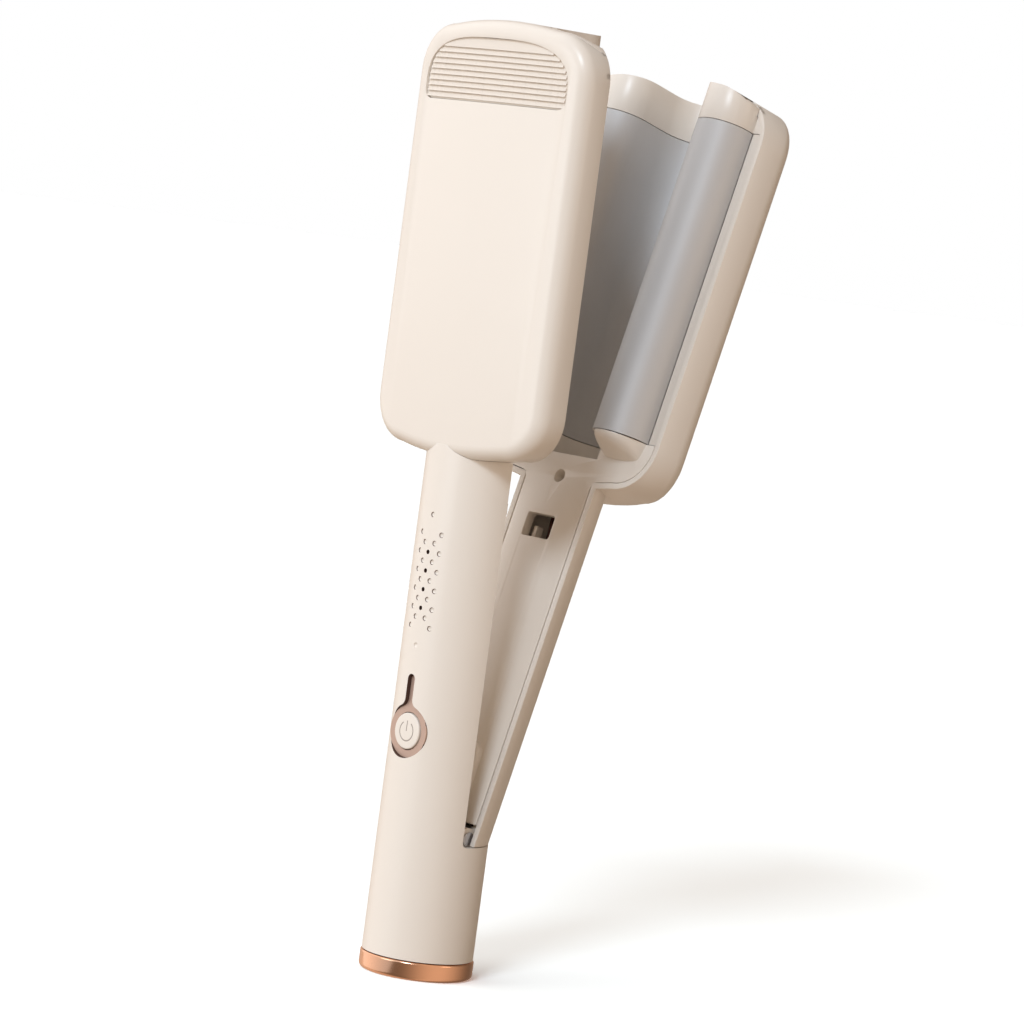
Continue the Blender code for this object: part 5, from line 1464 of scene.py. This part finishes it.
    def hump(self) -> Solid:
        """The hump, with rounded edges towards its face."""
        rings = []
        places = []
        back = REAR_HEAD.rim + MOULDING - GAP
        face = REAR_HEAD.rim - self.hump_proud
        radius = self.hump_edge
        for index in range(ARC_STEPS // 2 + 1):
            turn = math.pi / 2 * index / (ARC_STEPS // 2)
            rings.append(self.hump_outline(radius * (1 - math.sin(turn))))
            places.append(face + radius * (1 - math.cos(turn)))
        rings.append(self.hump_outline(0))
        places.append(back)
        return loft("hump", rings, Axis.Y, places)

    def panel(self) -> Solid:
        """The long face, which bulges a little and flattens out below the head."""
        head = REAR_HEAD
        rings = []
        flat = self.bulge_low + self.bulge_fade
        heights = (self.panel_bottom, self.bulge_low, flat, head.bottom + 2 * WALL)
        for bulge in (self.bulge, self.bulge, 0.0, 0.0):
            face = []
            for step in range(ARC_STEPS + 1):
                share = 2 * step / ARC_STEPS - 1
                face.append((self.panel_half * share, head.rim - bulge * (1 - share**2)))
            behind = head.rim + MOULDING
            rings.append(face + [(self.panel_half, behind), (-self.panel_half, behind)])
        return loft("panel", rings, Axis.Z, heights)

    def seam_corner(self, side: int) -> Solid:
        """What rounds the inner corner between the long face and the head, on one side."""
        head = REAR_HEAD
        radius = self.seam_radius
        low = head.height_at(self.panel_half + radius, WALL + GAP, False)
        corner = (self.panel_half - GAP, low + GAP)
        outline = [corner, (self.panel_half + radius, low + GAP)]
        outline += arc((self.panel_half + radius, low - radius), radius, 90, 180, ARC_STEPS // 2)
        outline.append((self.panel_half - GAP, low - radius))
        outline = [(side * u, v) for u, v in outline]
        return prism("seam_corner", outline, Axis.Y, head.rim, head.rim + MOULDING)

    def build_cover(self) -> None:
        """Inner face of the arm: bulged panel, hinge hump, seam corners, lock window and blind hole."""
        head = REAR_HEAD
        wave = REAR_WAVE
        behind = head.rim + MOULDING
        high = self.plate_bottom - GAP
        wide = HEAD_HALF_WIDTH
        cover = block("cover", (-wide, head.rim, head.bottom), (wide, behind, high))
        cover.keep(head.inner_prism("trim", WALL + GAP))
        cover.weld(self.panel())
        valley = wave.valley_half + MOULDING / 2
        low = (-valley, 0, self.recess_bottom)
        cover.cut(block("recess", low, (valley, behind + GAP, high + GAP)))
        trough = sheet("trough", wave.section, 0, MOULDING, self.recess_bottom, high)
        side = wave.valley_half + MOULDING
        low = (-side, head.rim, self.recess_bottom - GAP)
        trough.keep(block("middle", low, (side, wide, high + GAP)))
        end = wave.valley(MOULDING, head.rim)
        trough.weld(prism("end", end, Axis.Z, self.recess_bottom - MOULDING, self.recess_bottom))
        cover.weld(trough)
        for sense in (-1, 1):
            cover.weld(self.nose(sense * BARREL_X))
        corner = self.window_corner
        half = self.window_half - corner
        right = arc((half, self.window_low + corner), corner, -90, 0, ARC_STEPS // 2)
        right += arc((half, self.window_high - corner), corner, 0, 90, ARC_STEPS // 2)
        cover.cut(prism("window", mirrored(right), Axis.Y, -behind, behind + GAP))
        cover.cut(rod("hole", (0, self.hole_height), self.hole_radius, Axis.Y, -behind, behind + GAP))
        for side in (-1, 1):
            cover.weld(self.seam_corner(side))
        liner = rod("liner", (0, self.hole_height), self.hole_radius + MOULDING / 2, Axis.Y,
                    behind - GAP, behind + self.liner_depth)
        liner.cut(rod("hollow", (0, self.hole_height), self.hole_radius, Axis.Y, 0,
                      behind + self.liner_depth - MOULDING / 2))
        cover.weld(liner)
        cover.weld(self.hump())
        for height in self.screws:
            end = GRIP_RADIUS - GRIP_WALL - GAP
            cover.weld(rod("boss", (0, height), self.boss_radius, Axis.Y, behind - GAP, end))
        cover.soften(self.edge_round).turn(self.opening())
        cover.stand_for("lever_inner_cover", Body.LEVER, "cream_shell", (self.finishes.shell,))

    def build_cap(self) -> None:
        """Moulded upper end of the rear wave."""
        head = REAR_HEAD
        wave = REAR_WAVE
        top = head.top - GAP
        cap = sheet("cap", wave.section, 0, MOULDING, PLATE_TOP + GAP, top)
        for side in (-1, 1):
            section = wave.ridge(side, wave.ridge_radius - MOULDING / 2, wave.ledge + MOULDING / 2)
            low = top - self.end_drop
            cap.weld(prism("end", section, Axis.Z, low, low + MOULDING))
        cap.keep(head.inner_prism("trim", 0))
        wall = head.solid("wall", 0, head.rim - GAP)
        wall.cut(head.solid("hollow", WALL + GAP, head.rim - OVERRUN))
        notch = wave.valley(MOULDING + GAP, head.rim - OVERRUN)
        wall.cut(prism("notch", notch, Axis.Z, PLATE_TOP, head.top + OVERRUN))
        cap.cut(wall).soften(self.edge_round).turn(self.opening())
        cap.stand_for("rear_top_cap", Body.LEVER, "cream_shell", (self.finishes.shell,))

    def build_plate(self) -> None:
        """The wave shaped heating plate."""
        plate = sheet("plate", REAR_WAVE.section, 1, PLATE_THICKNESS, self.plate_bottom, PLATE_TOP)
        plate.turn(self.opening())
        plate.stand_for("rear_heating_plate", Body.LEVER, "silver_plate", (self.finishes.plate,))


@dataclass
class Studio:
    """Camera, soft lights, pale floor and white surroundings."""

    azimuth: float = math.radians(46.953)
    elevation: float = math.radians(3.707)
    roll: float = math.radians(7.548)
    distance: float = 1.474427
    shift_right: float = 0.012492
    shift_up: float = -0.001104
    middle_height: float = 0.075
    sensor: float = 36.0
    lens: float = 150.15
    clip: Pair = (0.05, 200.0)
    floor_height: float = -0.08932
    floor_radius: float = 40.0
    floor_roughness: float = 0.8
    floor_steps: int = 96
    floor_colour: Colour = (1.34, 1.38, 1.34)
    floor_bounce: Colour = (0.55, 0.45, 0.36)
    floor_glow: Colour = (0.03, 0.07, 0.12)
    world_seen: Colour = (1.0, 1.0, 1.0)
    world_light: Colour = (0.55, 0.43, 0.335)
    keys: tuple[tuple[str, float, float, float, float], ...] = (
        ("left_key", -92.0, 28.0, 110.0, 1.25), ("front_key", -20.0, 36.0, 16.0, 1.35),
    )
    key_colour: Colour = (0.75, 0.87, 1.0)
    softboxes: tuple[tuple[str, float, float, float, float, float, Colour], ...] = (
        ("left_light", -0.9, 0.2, 0.5, 0.5, 2.0, (0.9, 0.96, 1.0)),
        ("right_light", 0.95, 0.2, 0.45, 0.35, 0.8, (1.0, 0.86, 0.72)),
    )
    bright_side: float = math.radians(-70)
    side_low: float = 0.38
    side_high: float = 1.2
    bands: int = 2
    band_side: float = math.radians(47)
    band_low: float = 0.35
    band_high: float = 1.5

    def axes(self) -> tuple[Vector, Vector, Vector]:
        """The camera's right, up and backward directions before its roll."""
        back = Vector((
            math.sin(self.azimuth) * math.cos(self.elevation),
            -math.cos(self.azimuth) * math.cos(self.elevation),
            math.sin(self.elevation),
        ))
        right = Vector((math.cos(self.azimuth), math.sin(self.azimuth), 0))
        return right, back.cross(right), back

    def build_camera(self) -> None:
        """The camera at the photograph's viewing angle."""
        level, above, back = self.axes()
        right = math.cos(self.roll) * level + math.sin(self.roll) * above
        up = -math.sin(self.roll) * level + math.cos(self.roll) * above
        place = self.shift_right * level + self.shift_up * above + self.distance * back
        place.z += self.middle_height
        data = bpy.data.cameras.new("camera")
        data.lens = self.lens
        data.sensor_width = self.sensor
        data.sensor_fit = "HORIZONTAL"
        data.clip_start, data.clip_end = self.clip
        camera = bpy.data.objects.new("camera", data)
        bpy.context.scene.collection.objects.link(camera)
        matrix = Matrix((right, up, back)).transposed().to_4x4()
        matrix.translation = place
        camera.matrix_world = matrix
        bpy.context.scene.camera = camera

    def ground_axes(self) -> tuple[Vector, Vector]:
        """The camera's right, and the way back to it along the ground."""
        level, _, back = self.axes()
        return level, Vector((back.x, back.y, 0)).normalized()

    def hang(self, data: bpy.types.Light, place: Vector) -> bpy.types.Object:
        """Add a lamp that shines back along the way to its place."""
        lamp = bpy.data.objects.new(data.name, data)
        bpy.context.scene.collection.objects.link(lamp)
        lamp.rotation_mode = "QUATERNION"
        lamp.rotation_quaternion = (-place).to_track_quat("-Z", "Y")
        return lamp

    def light(self, name: str, across: float, up: float, near: float, width: float, power: float,
              colour: Colour) -> None:
        """Add a soft light that faces the object.

        Args:
            name: The light's name.
            across: Its distance to the camera's right.
            up: Its distance above the object's middle.
            near: Its distance towards the camera.
            width: The side of its square.
            power: Its power in watts.
            colour: Its colour.
        """
        level, flat_back = self.ground_axes()
        place = across * level + near * flat_back + Vector((0, 0, up))
        data = bpy.data.lights.new(name, "AREA")
        data.shape = "SQUARE"
        data.size = width
        data.energy = power
        data.color = colour
        self.hang(data, place).location = place + Vector((0, 0, self.middle_height))

    def build_key(self, name: str, turn: float, height: float, angle: float, power: float) -> None:
        """Add a broad distant light.

        Args:
            name: The light's name.
            turn: Its angle to the right of the camera, round the object.
            height: Its angle above the floor.
            angle: How wide it looks from the object.
            power: Its strength.
        """
        level, flat_back = self.ground_axes()
        towards = math.sin(turn) * level + math.cos(turn) * flat_back
        towards = math.cos(height) * towards + Vector((0, 0, math.sin(height)))
        data = bpy.data.lights.new(name, "SUN")
        data.energy = power
        data.angle = angle
        data.color = self.key_colour
        self.hang(data, towards)

    def build_lights(self) -> None:
        """Two keys, and two small soft lights whose reflections run along the gloss."""
        for name, turn, height, angle, power in self.keys:
            self.build_key(name, math.radians(turn), math.radians(height), math.radians(angle), power)
        for name, *values, colour in self.softboxes:
            self.light(name, *values, colour)

    def build_floor(self) -> None:
        """A round floor, far larger than the picture."""
        shape = bmesh.new()
        bmesh.ops.create_circle(shape, cap_ends=True, segments=self.floor_steps, radius=self.floor_radius)
        mesh = bpy.data.meshes.new("floor")
        shape.to_mesh(mesh)
        shape.free()
        floor = bpy.data.objects.new("floor", mesh)
        floor.location.z = self.floor_height
        bpy.context.scene.collection.objects.link(floor)
        paint = bpy.data.materials.new("floor_paint")
        paint.use_nodes = True
        maker = NodeMaker(paint.node_tree)
        shader = paint.node_tree.nodes["Principled BSDF"]
        rays = maker.add("LightPath")
        seen = rays.outputs["Is Camera Ray"]
        colour = maker.blend(seen, self.floor_bounce, self.floor_colour)
        paint.node_tree.links.new(colour, shader.inputs["Base Color"])
        glow = maker.blend(seen, (0.0, 0.0, 0.0), self.floor_glow)
        paint.node_tree.links.new(glow, shader.inputs["Emission Color"])
        shader.inputs["Emission Strength"].default_value = 1.0
        shader.inputs["Roughness"].default_value = self.floor_roughness
        shader.inputs["Specular IOR Level"].default_value = 0.0
        clear = maker.add("BsdfTransparent")
        choice = maker.add("MixShader", Fac=rays.outputs["Is Glossy Ray"])
        paint.node_tree.links.new(shader.outputs[0], choice.inputs[1])
        paint.node_tree.links.new(clear.outputs[0], choice.inputs[2])
        leave = paint.node_tree.nodes["Material Output"]
        paint.node_tree.links.new(choice.outputs[0], leave.inputs["Surface"])
        mesh.materials.append(paint)

    def build_world(self) -> None:
        """White surroundings, whose light on the object is dimmer and warmer."""
        world = bpy.data.worlds.new("surroundings")
        bpy.context.scene.world = world
        world.use_nodes = True
        maker = NodeMaker(world.node_tree)
        backdrop = world.node_tree.nodes["Background"]
        rays = maker.add("LightPath")
        seen = rays.outputs["Is Camera Ray"]
        colour = maker.blend(seen, self.world_light, self.world_seen)
        world.node_tree.links.new(colour, backdrop.inputs["Color"])
        place = maker.add("SeparateXYZ", Vector=maker.add("TexCoord").outputs["Generated"])
        around = maker.math("ARCTAN2", place.outputs["Y"], place.outputs["X"])
        soft = self.swing(maker, around, 1, self.bright_side, (self.side_low, self.side_high))
        banded = self.swing(maker, around, self.bands, self.band_side, (self.band_low, self.band_high))
        strength = maker.add("Mix", Factor=rays.outputs["Is Glossy Ray"], A=soft, B=banded)
        whole = maker.add("Mix", Factor=seen, A=strength.outputs["Result"])
        whole.inputs["B"].default_value = 1.0
        world.node_tree.links.new(whole.outputs["Result"], backdrop.inputs["Strength"])

    def swing(self, maker: NodeMaker, around: bpy.types.NodeSocket, waves: int, side: float,
              ends: Pair) -> bpy.types.NodeSocket:
        """Let a value rise and fall round the object.

        Args:
            maker: The maker of the nodes.
            around: The angle round the object.
            waves: How often it rises.
            side: The angle to the right of the camera where it is highest.
            ends: Its lowest and highest value.

        Returns:
            The value.
        """
        highest = self.azimuth - math.pi / 2 + side
        turned = maker.math("MULTIPLY", maker.math("SUBTRACT", around, highest), float(waves))
        share = maker.math("ADD", maker.math("MULTIPLY", maker.math("COSINE", turned, 0.0), 0.5), 0.5)
        return maker.spread(share, *ends)

    def build(self) -> None:
        """Set up everything round the object."""
        self.build_camera()
        self.build_lights()
        self.build_floor()
        self.build_world()
        bpy.context.scene.view_settings.view_transform = "Standard"


def dress_frame(frame: dict) -> None:
    """Give every node of the frame the finish of its material slot.

    Args:
        frame: What the frame's load call gave.
    """
    for part in frame["record"]["subparts"]:
        node = frame["nodes"][part["node"]]
        material = SLOT_FINISHES[part["material_slot"]].material()
        if node.data.materials:
            for index in range(len(node.data.materials)):
                node.data.materials[index] = material
        else:
            node.data.materials.append(material)
        for face in node.data.polygons:
            face.use_smooth = True
        node.data.set_sharp_from_angle(angle=SHARP_ANGLE)


def main() -> None:
    """Build the looks of the iron and the studio round it."""
    logging.basicConfig(level=logging.INFO, format="%(name)s %(message)s")
    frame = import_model()
    dress_frame(frame)
    finishes = Finishes(CREAM, TRIM, PAINTED_RIB, PLATE, ROSE, RECESS_SHADE, MARK, COPPER)
    surround = Surround(finishes)
    surround.build_surround()
    surround.build_button()
    grip = Grip(finishes, surround)
    grip.build_shell()
    grip.build_ring()
    head = FrontHead(finishes)
    head.build_cover()
    head.build_ribs()
    head.build_caps()
    head.build_plate()
    lever = LeverArm(finishes)
    lever.build_shell()
    lever.build_cover()
    lever.build_cap()
    lever.build_plate()
    Studio().build()


if __name__ == "__main__":
    main()
